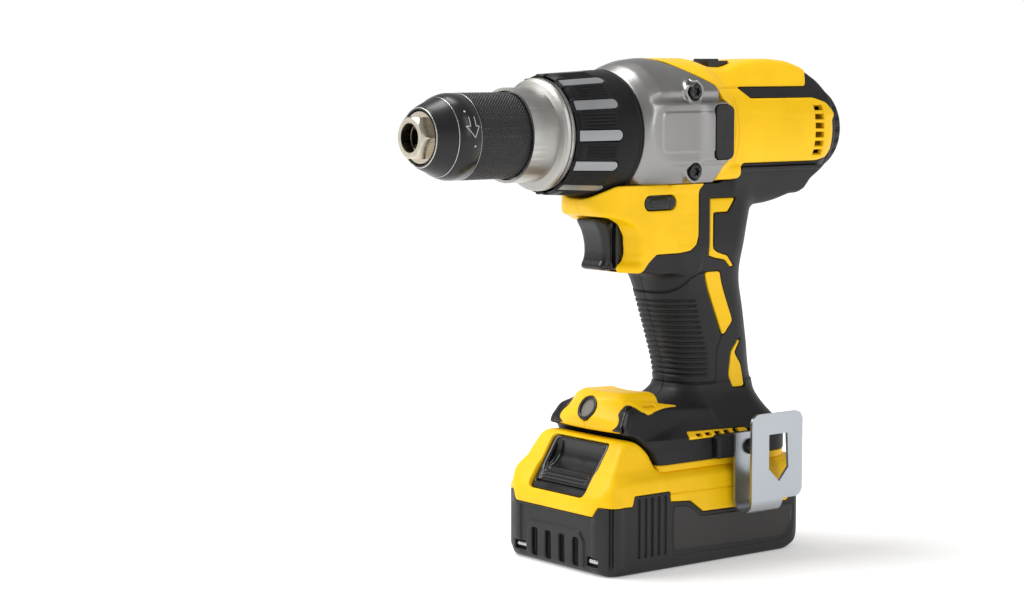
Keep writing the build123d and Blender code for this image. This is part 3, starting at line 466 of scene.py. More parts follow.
def ribbon(path, width, lift, surface):
    """Raised stroke along (y, arc) points on a turned surface; surface(y) gives its radius."""
    path = resampled(path, 0.5)
    tangent = np.gradient(path, axis=0)
    tangent /= np.linalg.norm(tangent, axis=1, keepdims=True)
    across = np.stack([-tangent[:, 1], tangent[:, 0]], 1)
    rows = []
    for offset, height in ((-0.5, -0.05), (-0.5, lift), (0.5, lift), (0.5, -0.05)):
        spot = path + across * width * offset
        radius = surface(spot[:, 0]) + height
        angle = spot[:, 1] / surface(spot[:, 0])
        rows.append(np.stack([radius * np.cos(angle), spot[:, 0], SPINDLE_Z + radius * np.sin(angle)], 1))
    points = np.stack(rows, 1).reshape(-1, 3)
    count = len(path)
    faces = [[4 * i + a, 4 * i + (a + 1) % 4, 4 * i + 4 + (a + 1) % 4, 4 * i + 4 + a]
             for i in range(count - 1) for a in range(4)]
    faces += [[3, 2, 1, 0], [4 * count - 4, 4 * count - 3, 4 * count - 2, 4 * count - 1]]
    return points, np.array(faces)


def sleeve_face(y):
    return np.interp(y, [-142, -140.4, -137.4, -136], [19.6, 20.3, 21.15, 21.3])


def sleeve_marks():
    """Turning arrow and two dots, three times round the sleeve."""
    arrow = [(-136.6, 8.4), (-136.6, 3.6), (-139.0, 3.6), (-134.4, -2.0), (-131.6, 3.6),
             (-133.4, 3.6), (-133.4, 8.4)]
    strokes = [ribbon(arrow, 0.35, 0.05, sleeve_face)]
    for y, arc in ((-137.6, 11.4), (-134.2, -6.2)):
        strokes.append(ribbon([(y - 0.45, arc), (y + 0.45, arc)], 0.9, 0.05, sleeve_face))
    one = joined(*strokes)
    return joined(*(about_spindle(one, turn) for turn in (6, 126, 246)))


piece("chuck_sleeve_marks", sleeve_marks(), "chuck_sleeve", "stripe_grey", finish=MARK_GREY)
softened("chuck_body", 0.35)


# ---- clutch collar ----
def collar_relief(y, radius, angle):
    """Stripe recesses, grip ribs between them and the chamfered front of each pad."""
    stripe_pitch = math.radians(30)
    around = (angle + stripe_pitch / 2) % stripe_pitch - stripe_pitch / 2
    arc = radius * around
    outer = radius > 29.2
    recess = oval(y + 64.6, arc, 14.6, 3.3, 3.2)
    depth = (radius - 29.45) * (1 - ramp(recess, -0.45, 0.15))
    pad_arc = radius * (np.abs(around) - stripe_pitch / 2)
    ribs = 0.5 - 0.5 * np.cos(2 * math.pi * pad_arc / 1.75)
    ribbed = 1 - ramp(oval(y + 62.6, pad_arc, 9.6, 4.4, 1.0), -0.6, 0.1)
    chamfer = 1.3 * (1 - ramp(y, -77.6, -74.6)) * ramp(recess, 0.2, 0.8)
    bead = 0.35 * (1 - ramp(np.abs(y + 38.6), 0.25, 0.6))
    valley = 0.3 * (1 - ramp(np.abs(y + 39.9), 0.2, 0.6))
    return np.where(outer, -depth - 0.5 * ribs * ribbed - chamfer * (depth < 0.2) + bead - valley, 0)


COLLAR_OUTLINE = [
    (-78, 28.4), (-78, 30), (-77.7, 30.25), (-44, 32), (-40, 32.1), (-37.9, 31.9), (-37.2, 31.5),
    (-37, 31), (-37, 28.4)
]
piece("clutch_collar_body", turned(COLLAR_OUTLINE, 840, collar_relief, 0.45, closed=True),
      "clutch_collar", "clutch_black", ["clutch_collar"])
softened("clutch_stripes", 0.35, 50)
softened("nose_collar", 0.25)

# ---- gear case ----
CASE_RADIUS_LINE = Outline([
    (-36.4, -5), (-36.4, 31.6), (-31, 34.9), (-24, 37), (-15, 38), (24, 38), (24, -5)
], 2.0)
CASE_JOINT = Outline([
    (-90, 195), (-90, 275), (-13, 275), (-13, 260), (14, 245), (16, 238), (21, 234), (21, 208), (16, 204),
    (14, 198), (14, 195)
], 0.6)
FASCIA_PAD = Outline([(-26, 211.5), (-26, 232), (10, 232), (10, 211.5)], 2.5)
SCREW_Y, SCREW_HEIGHTS = -3.3, (242.0, 201.5)
BUMPER_SEAT = (30, 40), (8.1, 21.0), (207.1, 235.4), 3.6


def case_field(x, y, z):
    r = from_spindle(x, z)
    ramp_out = 1.7 * ramp(y, -2.5, 7) * band(z, 205.5, 207.5, 235.5, 237.5)
    pad_step = 0.45 * (1 - ramp(FASCIA_PAD(y, z), -0.5, 0.3))
    body = both(CASE_RADIUS_LINE(y, r), x - 34.05 - pad_step - ramp_out, 1.6)
    valley = np.hypot((z - 239.6) * 0.75, (x - 33.6) * 0.8) - 2.1
    crease = np.hypot(z - 205.4, x - 34.9) - 1.1
    body = carved(body, (both(valley, slab(y, -60, 30)), 1.5), (crease, 0.8))
    for height in SCREW_HEIGHTS:
        ring = np.hypot(y - SCREW_Y, z - height)
        boss = both(ring - 6.0, slab(x, 20, 33.2), 0.9)
        seat = both(ring - 4.4, 31.5 - x, 0.4)
        channel_depth = np.clip((y + 17) / 14, 0, 1) * 2.6
        channel = both(np.hypot(z - height, x - 35.6) - 1.2 - channel_depth, slab(y, -17, SCREW_Y), 0.8)
        body = carved(union(body, boss, 1.4), (seat, 0.5), (channel, 1.0))
    facet = (x - 31.0) * 0.8 + (y + 9) * 0.55 + (z - 248) * 0.25
    body = without(body, every(-facet, slab(y, -12, -2), slab(z, 245.5, 256)), 0.5)
    body = both(both(body, 195.0 - z, 0.8), CASE_JOINT(y, z) + 0.12, 0.5)
    body = without(body, both(r - 30.0, -28.0 - y))
    tube = both(slab(r, 25.0, 28.0), slab(y, -78.4, -30))
    return without(union(body, tube), block(x, y, z, *BUMPER_SEAT), 0.3)


casting = whole(case_field, (0, -79.5, 190), (39, 26, 262))
piece("gear_case_casting", casting, "root", "case_aluminium", ["gear_case"])


# ---- screws ----
def screw_head(radius, height, socket):
    """Domed head with a six-lobed socket, standing on the plane z = 0 and pointing up."""
    rings = [(0.0, 0.45), (0.35, 0.45), (0.62, 0.45), (0.64, 1.0), (0.8, 0.99), (0.92, 0.9),
             (0.98, 0.75), (1.0, 0.0)]
    around = 96
    angle = 2 * math.pi * np.arange(around) / around
    lobes = 1 + 0.16 * np.cos(6 * angle)
    points = []
    for share, level in rings:
        reach = radius * share if share > 0.64 else socket * (share / 0.64) * lobes
        ring = [reach * np.cos(angle), reach * np.sin(angle), np.full(around, height * level)]
        points.append(np.stack(ring, 1))
    return np.concatenate(points), grid_faces(len(rings), around)


def placed(shape, spot, direction):
    turn = Vector(direction).to_track_quat("Z", "Y").to_matrix()
    return shape[0] @ np.array(turn).T + np.array(spot), shape[1]


def screws(name, heads, node, body="root"):
    piece(name, joined(*heads), body, "screw_black", [node], flat_angle=40)


case_screws = [placed(screw_head(3.9, 2.6, 2.0), (side * 31.6, SCREW_Y, height), (side, 0, 0))
               for side in (-1, 1) for height in SCREW_HEIGHTS]
screws("gear_case_screw_heads", case_screws, "gear_case_screws")


def side_reach(z):
    """Half width of the housing at a height."""
    return 23.5 if z < 196 else math.sqrt(34.0 ** 2 - (z - SPINDLE_Z) ** 2)


PACK_SCREW_X, PACK_SCREW_YS = 33, (-59, 61)
CLIP_SCREW_Y, CLIP_SCREW_Z = 27, 58.6
HOUSING_SCREWS = ((30, 245), (80, 244), (30, 198), (84, 198), (-30, 190), (8, 160))
housing_heads = [placed(screw_head(3.2, 2.2, 1.6), (-side_reach(z) + 2.4, y, z), (-1, 0, 0))
                 for y, z in HOUSING_SCREWS]
screws("housing_screw_heads", housing_heads, "housing_screws")
pack_heads = [placed(screw_head(3.4, 1.6, 1.7), (x, y, 4.2), (0, 0, -1))
              for x in (-PACK_SCREW_X, PACK_SCREW_X) for y in PACK_SCREW_YS]
screws("pack_screw_heads", pack_heads, "pack_screws", "pack")
clip_head = placed(screw_head(4.2, 3.0, 2.0), (44.65, CLIP_SCREW_Y, CLIP_SCREW_Z), (1, 0, 0))
screws("belt_clip_screw_head", [clip_head], "belt_clip_screw")

# ---- housing above the handle ----
BARREL_LINE = Outline([
    (-13, -6), (-13, 38), (14, 38), (20, 36.6), (24, 34.6), (28, 34), (90, 34), (96.5, 32), (99.4, 29),
    (99.6, -6)
], 2.0)
SPINE_SIDE = Outline([
    (-20, 236), (-20, 259), (14, 254.6), (33, 253.6), (43, 256.8), (54, 258.6), (68, 259.3), (80, 257.8),
    (89, 254), (96, 247), (99, 238), (99, 226)
], 3.0)
SPINE_SECTION = paired([(-34, 226), (-29, 240), (-24.5, 245), (-20.5, 250), (-12, 259.6)], 4.0)
BLOCK_SIDE = Outline([
    (-55, 199), (-55, 185), (-51, 179.5), (-44, 178.2), (-38, 175), (-34.5, 169), (-34, 160),
    (-35.6, 156), (-38.6, 153.9), (-39.6, 152.2), (-37.4, 150.2), (-26, 149.4), (-22, 148), (16, 148),
    (16, 212), (-36, 212), (-40, 199)
], 1.4)
YELLOW_TOP = Outline([
    (-60, 280), (89.5, 280), (89.5, 253), (84.5, 246.5), (82, 244), (32, 244), (38.5, 238.2), (84, 238.2),
    (93, 235.5), (98.5, 229), (101, 221), (99.5, 212.5), (94, 206.2), (86, 204.6), (33.2, 204.6),
    (33.4, 200.5), (30.2, 196.7), (25, 196.2), (8.8, 196.2), (8.8, 168), (7.4, 163), (3, 160),
    (-4.5, 159.2), (-20, 159.2), (-25.5, 155), (-30, 149.6), (-33, 140), (-90, 140), (-90, 280)
], 1.2)


def motor_space(x, y, z):
    return both(from_spindle(x, z) - 31.0, slab(y, -20, 97.2))


def upper_outside(x, y, z):
    """Everything above the handle: barrel, spine, lug and trigger block."""
    r = from_spindle(x, z)
    body = both(BARREL_LINE(y, r), x - 34.5, 1.5)
    body = union(body, both(SPINE_SIDE(y, z), SPINE_SECTION(x, z), 3.0), 2.0)
    body = union(body, block(x, y, z, (0, 31.0), (0, 33.0), (196, 205.5), 4.0), 0.8)
    corner_front = oval(x, y - 2.5, 23.5, 57.5, 19.5)
    lean = (0.42 + 0.3 * (1 - ramp(z, 153, 160))) * (1 - ramp(z, 172, 180))
    lean = lean * np.maximum(np.abs(x) - 13.0, 0)
    face = both(BLOCK_SIDE(y - lean, z), corner_front, 2.5)
    face = without(face, both(r - 33.0, y + 36.4), 1.5)
    return union(body, face, 1.5)


def groove_lines(x, y, z):
    """Two fine grooves round the barrel behind the bumper."""
    return both(union(np.abs(y - 23.6) - 0.35, np.abs(y - 26.2) - 0.3), slab(z, 205.5, 238))


BUTTON_Y, BUTTON_Z = -17.7, 185.6


def upper_yellow(x, y, z):
    """Plastic of the housing above the handle, hollow and with its openings."""
    outside = upper_outside(x, y, z)
    body = both(outside, YELLOW_TOP(y, z) + 0.12, 0.9)
    shallow = outside + 0.55
    ledge = every(np.abs(z - 243.6) - 0.5, slab(y, 10, 33), -shallow)
    body = carved(body, (both(-shallow, groove_lines(x, y, z)), 0.3), (ledge, 0.4))
    texture = 0.28 * band(y, -8, -6, 5.6, 6.6) * band(z, 162, 163.5, 180, 181)
    wave = 0.5 - 0.5 * np.cos(2 * math.pi * z / 1.3)
    body = body + texture * wave * (x > 20)
    switch_room = block(x, y, z, (-18, 18), (-26, 34), (153, 192))
    trigger_room = block(x, y, z, (-12.6, 12.6), (-72, -12), (150.8, 178.2), 1.0)
    selector_slot = block(x, y, z, (-9.4, 9.4), (17, 43), (253.2, 270), 1.5)
    button_slot = oval(y - BUTTON_Y, z - BUTTON_Z, 10.9, 4.0, 3.9)
    body = carved(body, (CASE_JOINT(y, z) - 0.1, 0.5), (motor_space(x, y, z), 0), (switch_room, 0),
                  (trigger_room, 1.2), (selector_slot, 0.4), (button_slot, 0.7))
    for row in range(-2, 4):
        angle = math.radians((row - 0.5) * 8.2)
        height = (z - SPINDLE_Z) * math.cos(angle) - x * math.sin(angle)
        vent = every(np.abs(height) - 1.5, slab(y, 82.3, 88.7), 20 - x)
        body = without(body, vent, 0.5)
    return without(body, block(x, y, z, *BUMPER_SEAT), 0.3)


halves("housing_upper", upper_yellow, (-1, -57, 147), (39, 103, 262), "housing_yellow", "housing")


# ---- black covers round the barrel ----
COVER_REGION = Outline([
    (26, 250), (26, 243.8), (32, 243.8), (38.5, 238.4), (60, 238.4), (60, 204.4), (34, 204.4), (34, 196),
    (101, 196), (101, 262), (80, 262), (80, 250)
], 0.8)


def cover_field(x, y, z):
    """Rubber band above the barrel's side and over the rear of the spine."""
    outside = upper_outside(x, y, z) + 0.75
    body = both(outside, COVER_REGION(y, z), 0.8)
    body = carved(body, (YELLOW_TOP(y, z) - 0.12, 0.3), (motor_space(x, y, z), 0))
    for line in (88, 91.5, 95):
        body = without(body, every(np.abs(y - line) - 0.35, 246 - z, -outside - 0.5), 0.3)
    return body


halves("barrel_cover", cover_field, (-1, 24, 195), (38, 102, 262), "grip_rubber")


def cap_relief(y, radius, angle):
    """Cooling grooves round the cap's shoulder."""
    around = math.radians(15)
    offset = radius * ((angle + around / 2) % around - around / 2)
    shoulder = band(y, 104.6, 105.4, 110.6, 111.4) * (radius > 20)
    return -1.1 * (1 - ramp(np.abs(offset), 0.9, 1.5)) * shoulder


REAR_CAP = [
    (99.4, 0.5), (99.4, 27.2), (99.9, 28.3), (101, 28.5), (102.4, 27.8), (104.2, 25.6), (104.8, 24.1),
    (105.2, 23.9), (110.6, 23.1), (112.4, 22), (113.6, 20), (114, 18), (114, 13.2), (113.4, 12.8),
    (113.4, 12), (114, 11.6), (114, 0.5)
]
piece("rear_cap_cover", turned(REAR_CAP, 288, cap_relief, 0.6, closed=True), "root", "grip_rubber",
      ["rear_cap"])

# ---- handle ----
HANDLE_Z = [86, 92, 99, 106, 117, 128, 139, 150, 159, 168, 184, 206]
HANDLE_MIDDLE = [33.2, 32.2, 31.0, 29.7, 27.0, 24.2, 21.2, 18.2, 16.2, 15.0, 14.0, 14.0]
HANDLE_HALF = [27.0, 26.3, 26.3, 27.0, 28.0, 29.0, 29.6, 30.4, 32.6, 35.4, 40.0, 44.0]
SMOOTH_Z = np.linspace(86, 206, 241)


def eased(values):
    """Table of smooth values over SMOOTH_Z."""
    line = np.interp(SMOOTH_Z, HANDLE_Z, values)
    window = np.hanning(33)
    return np.convolve(np.pad(line, 16, mode="edge"), window / window.sum(), "valid")


MIDDLES, HALF_LENGTHS = eased(HANDLE_MIDDLE), eased(HANDLE_HALF)


def grip_line(z):
    """Middle and half length of the handle's section at a height."""
    return np.interp(z, SMOOTH_Z, MIDDLES), np.interp(z, SMOOTH_Z, HALF_LENGTHS)


def grip_outside(x, y, z):
    middle, half = grip_line(z)
    return oval(x, y - middle, 18.5 + 4.9 * ramp(z, 137, 165), half, 15.6)


GROOVE_Z, GROOVE_PITCH = 92.4, 2.85


def grip_detail(x, y, z):
    """Depth cut into the handle's rubber: finger grooves, less the raised dots and palm panel."""
    front_end = np.interp(z, [94, 134], [-30, -40])
    rear_end = np.interp(z, [92, 104, 134], [20.5, 20, 11.5])
    level = (z - GROOVE_Z) % GROOVE_PITCH - GROOVE_PITCH / 2
    cut = 0.75 * (1 - ramp(np.abs(level), 0.25, 0.75)) * band(z, 92.6, 93.4, 135.2, 136)
    cut = cut * (1 - ramp(y, rear_end - 1.2, rear_end)) * ramp(y, front_end, front_end + 2)
    panel = PANEL(y, z)
    cut = np.maximum(cut, 0.7 * (1 - ramp(np.abs(panel), 0.25, 0.7)))
    dot_level = (z - GROOVE_Z + GROOVE_PITCH / 2) % GROOVE_PITCH - GROOVE_PITCH / 2
    dots = np.hypot(y - rear_end - 1.2, dot_level)
    bump = 0.3 * (1 - ramp(dots, 0.35, 0.7)) * band(z, 94, 95, 110, 111)
    return cut - bump - 0.35 * (1 - ramp(panel, -0.6, 0.0))


PANEL = Outline([
    (-60, 89.5), (-60, 138), (-12, 138), (-4.6, 138.4), (1, 141), (5.8, 145.2), (12.7, 148.6),
    (15.5, 148.6), (29.5, 113.6), (26.2, 107), (25.6, 100), (25.6, 89.5)
], 2.4)
UPPER_INLAY = Outline([
    (16.6, 157), (16.6, 186.6), (34.5, 186.6), (29, 179.2), (19.3, 179.2), (19.3, 160.6), (22.6, 158.4),
    (29.6, 156.4), (35.5, 150.6), (33.6, 150), (28.6, 154.2), (21, 155.6)
], 0.7)
MIDDLE_INLAY = Outline([(16, 148.2), (26.4, 148.2), (37.4, 121.4), (30.6, 113.6)], 1.4)
LOWER_INLAY = Outline([
    (42.6, 112.2), (36.6, 104.8), (35, 92.6), (37.6, 85.8), (46.4, 85.8), (43.4, 98), (39, 104.2),
    (43.6, 111.4)
], 0.9)


def inlay_field(y, z):
    return np.minimum(np.minimum(UPPER_INLAY(y, z), MIDDLE_INLAY(y, z)), LOWER_INLAY(y, z))


def foot_outside(x, y, z):
    """Flare from the handle down to the foot."""
    rise = np.clip((z - 66) / 24, 0, 1)
    spread = (1 - rise) ** 1.75
    half_x = 18.5 + 19.5 * spread
    middle = 32.7 - 19.2 * spread
    half_y = 26.6 + 25.4 * spread
    return oval(x, y - middle, half_x, half_y, 15.4) * 0.86


FOOT_FRONT = Outline([
    (-90, 40), (-29, 40), (-29, 49), (-33.8, 60.3), (-40.6, 67.4), (-44, 69), (-90, 69)
], 0.9)
SHOULDER_SIDE = Outline([
    (-47.4, 69), (-46.4, 73), (-42, 80.5), (-36, 85), (-30, 84.6), (-6, 80.2), (14, 78), (14, 52),
    (-29, 52), (-34, 60), (-41, 67.5)
], 1.2)
SHOULDER_FRONT = paired([(-38, 50), (-37.2, 60), (-31.5, 71), (-28.4, 79.5), (-19, 85.6)], 1.5)
HOOD_SIDE = Outline([
    (-48, 69.4), (-49.2, 76), (-44.5, 86), (-39.5, 88.8), (-20, 87.6), (-12, 84), (-12, 69.4)
], 1.4)
HOOD_FRONT = paired([(-25.4, 68), (-24.6, 72), (-21.8, 80), (-19.6, 85.4), (-14, 89.2)], 1.6)
SPUR_PLAN = Outline([(15, -40), (27, -33.5), (28.6, -30), (24.2, -5), (19.5, -30)], 0.5)


def shoulder_outside(x, y, z):
    """Black corners of the foot beside the worklight."""
    return both(SHOULDER_SIDE(y, z), SHOULDER_FRONT(x, z), 2.5)


def hood_outside(x, y, z):
    """Worklight hood with a bowed front and a thin spur on each side."""
    bow = (0.004 + 0.013 * ramp(z, 71, 84)) * x ** 2
    hood = both(both(HOOD_SIDE(y - bow, z), HOOD_FRONT(x, z), 1.6), y + 16.0, 1.5)
    shoulder = shoulder_outside(x, y, z)
    spur = every(SPUR_PLAN(x, y), shoulder - 0.5, 78 - z, -(shoulder + 2.5), blend=0.4)
    return union(hood, spur, 0.4)


def corner_panel(x, y, z):
    """Glossy insert between the hood and the rubber corner."""
    return every(shoulder_outside(x, y, z) + 0.1, slab(x, 20, 27.0 - 0.2 * (z - 70)), y + 36,
                 70.4 - z, z - 83, blend=0.3)


def hollow(x, y, z):
    """Open room inside the handle and the foot."""
    middle, half = grip_line(z)
    core = both(oval(x, y - middle, 13.0, half - 5.5, 9.5), slab(z, 93, 192))
    tower = block(x, y, z, (-26.4, 26.4), (-70, 58), (40, 62))
    board = every(oval(x, y - 19, 30, 39, 8), slab(z, 61.9, 70))
    wires = every(oval(x, y - 35, 10, 15, 6), slab(z, 69, 96))
    hood_room = every(HOOD_SIDE(y, z) + 4.0, np.abs(x) - 13, 71 - z)
    return np.minimum.reduce([core, tower, board, wires, hood_room])


LAMP = np.array([-46.6, 80.4])
LAMP_WAY = np.array([-math.sin(math.radians(62)), math.cos(math.radians(62))])


def lamp_frame(x, y, z):
    """Distance from the worklight's axis and height along it."""
    dy, dz = y - LAMP[0], z - LAMP[1]
    height = dy * LAMP_WAY[0] + dz * LAMP_WAY[1]
    side = dy * LAMP_WAY[1] - dz * LAMP_WAY[0]
    return np.hypot(x, side), height


def grip_and_foot(x, y, z):
    grip = both(grip_outside(x, y, z) + grip_detail(x, y, z), slab(z, 80, 206))
    foot = both(foot_outside(x, y, z), slab(z, 49.5, 88.5))
    foot = union(foot, shoulder_outside(x, y, z), 4.0)
    foot = without(foot, FOOT_FRONT(y, z), 1.0)
    return union(grip, foot, 2.5)


TAIL_SIDE = Outline([
    (30, 206), (33, 178.5), (38.4, 180), (51.4, 181.8), (60, 182.6), (66, 184), (74.8, 187.2),
    (80.8, 187.4), (85, 189.6), (87, 194.6), (92, 199), (100, 205.4), (100, 212)
], 1.6)
TAIL_SECTION = paired([(-13, 176), (-22, 186), (-27.5, 199), (-29.5, 212)], 3.0)


def tail_outside(x, y, z):
    """Rubber pad under the motor's rear, stepped near its lower end."""
    body = both(TAIL_SIDE(y, z), TAIL_SECTION(x, z), 2.0)
    upper = every(200.4 - z, slab(y, 30, 92), TAIL_SECTION(x, z) - 0.9)
    return union(body, upper, 0.4)


def rubber_field(x, y, z):
    """Rubber of the handle and the foot, and the pad under the motor."""
    above, r, yellow = upper_outside(x, y, z), from_spindle(x, z), YELLOW_TOP(y, z)
    chin = every(above + 0.3, slab(z, 148.4, 162), slab(y, -34, 10), np.abs(x) - 20.0, blend=1.0)
    grip = both(grip_and_foot(x, y, z), z - 199.0)
    body = union(union(grip, chin, 4.0), tail_outside(x, y, z), 3.0)
    below_yellow = (yellow > 0.005) & (r > 35.0)
    inlays = both(inlay_field(y, z) - 0.3, 6 - x)
    trigger_room = block(x, y, z, (-12.8, 12.8), (-45, -13), (150.8, 178))
    body = carved(body, (above + FAR * below_yellow, 0.2), (r - 34.12, 0), (yellow - 0.22, 0.5),
                  (inlays, 0.4), (trigger_room, 0), (hood_outside(x, y, z) - 0.2, 0.4),
                  (corner_panel(x, y, z) - 0.2, 0.3))
    body = both(body, 53.4 - z, 0.6)
    clip_seat = block(x, y, z, (34, 44), (5.6, 38.4), (52, 66.4), 1.0)
    tower_room = every(foot_outside(x, y, z) + 6, slab(z, 40, 68))
    return carved(body, (STRIP(y, z) + FAR * (x < 30), 0.3), (clip_seat, 0.4), (tower_room, 0),
                  (hollow(x, y, z), 0))


STRIP = Outline([(-10.5, 64.4), (-9.4, 68.6), (31, 67.4), (31, 65.4), (21, 64.6)], 0.5)
halves("grip_rubber_skin", rubber_field, (-1, -45, 52), (39, 102, 206), "grip_rubber",
       "grip_rubber", STEP * 1.1)


def handle_yellow(x, y, z):
    """Plastic of the housing that shows through the handle's rubber."""
    outside = np.minimum(grip_outside(x, y, z), both(foot_outside(x, y, z), 90 - z))
    body = every(outside - 0.15, inlay_field(y, z) + 0.05, -(outside + 3.5), 8 - x, blend=0.4)
    return without(body, hollow(x, y, z))


halves("housing_inlays", handle_yellow, (-1, 10, 84), (20, 48, 189), "housing_yellow")


def foot_yellow(x, y, z):
    """Worklight hood, the rim below the rubber and the vent strip."""
    rho, height = lamp_frame(x, y, z)
    hood = without(hood_outside(x, y, z), both(rho - 6.6, -6.0 - height, 0.6), 0.8)
    foot = foot_outside(x, y, z)
    rim = both(foot + 0.3, slab(z, 49.6, 53.3), 0.4)
    rim = without(rim, FOOT_FRONT(y, z), 0.8)
    strip = every(STRIP(y, z) + 0.15, foot - 0.1, -(foot + 3), 30 - x, blend=0.3)
    for number in range(5):
        start = -4.5 + 6.4 * number
        strip = without(strip, every(slab(y, start, start + 4.1), slab(z, 65.5, 67.0)), 0.2)
    slot = every(oval(x - 24.6, y + 26.5, 1.3, 4.0, 0.9), 76 - z)
    return carved(np.minimum(np.minimum(hood, rim), strip), (slot, 0.4), (hollow(x, y, z), 0))


halves("housing_foot", foot_yellow, (-1, -53, 49), (39, 67, 91), "housing_yellow")


def bezel_field(x, y, z):
    rho, height = lamp_frame(x, y, z)
    return both(np.abs(rho - 5.75) - 0.75, slab(height, -6, 0.45), 0.4)


piece("worklight_bezel", whole(bezel_field, (0, -56, 72), (8, -36, 90), STEP * 0.6), "root", "latch_black")
halves("foot_corner_panel", corner_panel, (18, -50, 68), (33, -33, 88), "latch_black")


def boss_field(x, y, z):
    body = block(x, y, z, (30.5, 42.7), (6, 38), (53.5, 65.8), 1.6)
    front = block(x, y, z, (30.5, 42.7), (6, 20), (53.5, 63.7), 3.0)
    notch = block(x, y, z, (41.6, 46), (9.0, 20.5), (56.5, 61.0), 0.8)
    thread = np.hypot(y - CLIP_SCREW_Y, z - CLIP_SCREW_Z) - 2.0
    return union(carved(body, (notch, 0.3), (thread, 0)), front, 0.5)


halves("clip_bosses", boss_field, (-1, 4, 52), (44.5, 40, 67), "grip_rubber")

# ---- controls ----
TRIGGER_SIDE = Outline([
    (-48.3, 177), (-46.8, 174.4), (-45, 171.6), (-43.6, 168), (-42.7, 164), (-42.5, 160), (-43.2, 156.4),
    (-45, 153.4), (-44.8, 151.9), (-43, 151.2), (-28, 151.2), (-28, 177.8), (-47.4, 177.8)
], 1.0)
BOOT_SIDE = Outline([(-39.6, 177.2), (-38.4, 164), (-39.6, 151.6), (-22, 151.6), (-22, 177.2)], 1.2)


def trigger_field(x, y, z):
    blade = both(TRIGGER_SIDE(y, z), x - 9.4, 3.4)
    boot = both(BOOT_SIDE(y, z), x - 12.2, 2.0)
    gap = every(np.abs(y + 38.2) - 0.7, 8.0 - x)
    stem = block(x, y, z, (-4, 4), (-23, -12), (160, 172), 0.5)
    return union(without(union(blade, boot, 0.4), gap, 0.6), stem)


piece("trigger_blade", whole(trigger_field, (0, -50, 150), (14, -11, 179)), "trigger",
      "trigger_black", ["trigger"])


def button_field(x, y, z):
    base = both(oval(y - BUTTON_Y, z - BUTTON_Z, 10.4, 3.5, 3.4), x - 23.3, 0.9)
    pad = both(oval(y - BUTTON_Y + 1.0, z - BUTTON_Z, 6.6, 2.2, 2.1), x - 24.15, 0.8)
    notch = every(np.abs(y - BUTTON_Y - 5.6) - 0.5, np.abs(z - BUTTON_Z) - 1.8, 22.8 - x)
    return without(union(base, pad, 0.4), notch, 0.3)


piece("direction_button_bar", whole(button_field, (0, -30, 181), (25, -6, 190)), "direction_button",
      "trigger_black", ["direction_button"])
for node_name, rounding in (("speed_selector", 0.4), ("side_bumper_left", 0.8), ("side_bumper_right", 0.8),
                            ("belt_clip", 0.3)):
    softened(node_name, rounding)

# ---- battery pack ----
PACK_SIDE = Outline([
    (-69, 4), (-65, 0), (56, 0), (65, 3.5), (70, 11), (71, 20), (71, 42), (67.5, 49), (-29.6, 49),
    (-34.6, 60), (-41.4, 66.8), (-47.5, 66.8), (-51, 64.2), (-67.6, 38.6), (-69, 33)
], 2.2)
LOWER_SECTION = paired([(-42, -8), (-42, 40), (-40.6, 46.5), (-36.5, 49.6)], 2.0)
HUMP_SECTION = paired([(-37.6, 30), (-36.6, 50), (-33, 67)], 4.0)
FRONT_FRAME = paired([(-23, -4), (-23, 16.5), (-19, 21.8)], 1.2)
LABEL = Outline([
    (-23.6, 8.6), (-23.6, 33), (-12.6, 32), (-4.2, 25.8), (61, 25), (61, 15), (54, 7.6), (40, 7.2)
], 1.6)
LABEL_BAY = Outline([(-24.4, 6.8), (-24.4, 41.2), (62.4, 41.2), (62.4, 13), (58.6, 7.4), (50, 5.8)], 1.2)
LATCH_SPOT = np.array([-58.2, 51.5])
LATCH_LEAN = math.radians(57)


def latch_frame(y, z):
    """Position up the pack's sloping front and height above it, from the latch's middle."""
    dy, dz = y - LATCH_SPOT[0], z - LATCH_SPOT[1]
    return (dy * math.cos(LATCH_LEAN) + dz * math.sin(LATCH_LEAN),
            dz * math.cos(LATCH_LEAN) - dy * math.sin(LATCH_LEAN))


def pack_outside(x, y, z):
    plan = oval(x, y - 1, 42, 70, 13)
    side = PACK_SIDE(y, z)
    lower = every(plan, side, LOWER_SECTION(x, z), blend=2.5)
    hump = every(oval(x, y - 1, 38.5, 70, 12), side, HUMP_SECTION(x, z), blend=3.0)
    beyond = np.maximum(np.maximum(z - 35.5, 7.4 - z), 0)
    column = np.sqrt((x - 36.0) ** 2 + (y + 60.5) ** 2 + beyond ** 2) - 6.4
    return union(union(lower, hump, 4.0), column, 1.2)


def split_height(x, y):
    """Height of the joint between the yellow upper and the dark lower case."""
    side = np.interp(y, [-69, -56, -51.2, -49.6, -25.8, -25.2, -11.6, -2.8, 56, 62, 66, 71],
                     [35.6, 35.2, 35.0, 40.2, 40.2, 34.9, 33.8, 27.4, 26.3, 31.5, 35.5, 36.0])
    front = 35.6 - 5.2 * (1 - ramp(np.abs(x), 30, 34.5))
    rear = 36.0 - 5.0 * (1 - ramp(np.abs(x), 24, 28.5))
    return np.where(np.abs(x) > 34.5, side, np.where(y < 0, front, rear))


def pack_hollow(x, y, z):
    plan = oval(x, y - 1, 39.0, 65.2, 10.4)
    lower = every(plan, slab(z, 2.6, 46.4), PACK_SIDE(y, z) + 2.6)
    hump = every(PACK_SIDE(y, z) + 2.6, HUMP_SECTION(x, z) + 2.6, 40 - z)
    return np.minimum(lower, hump)


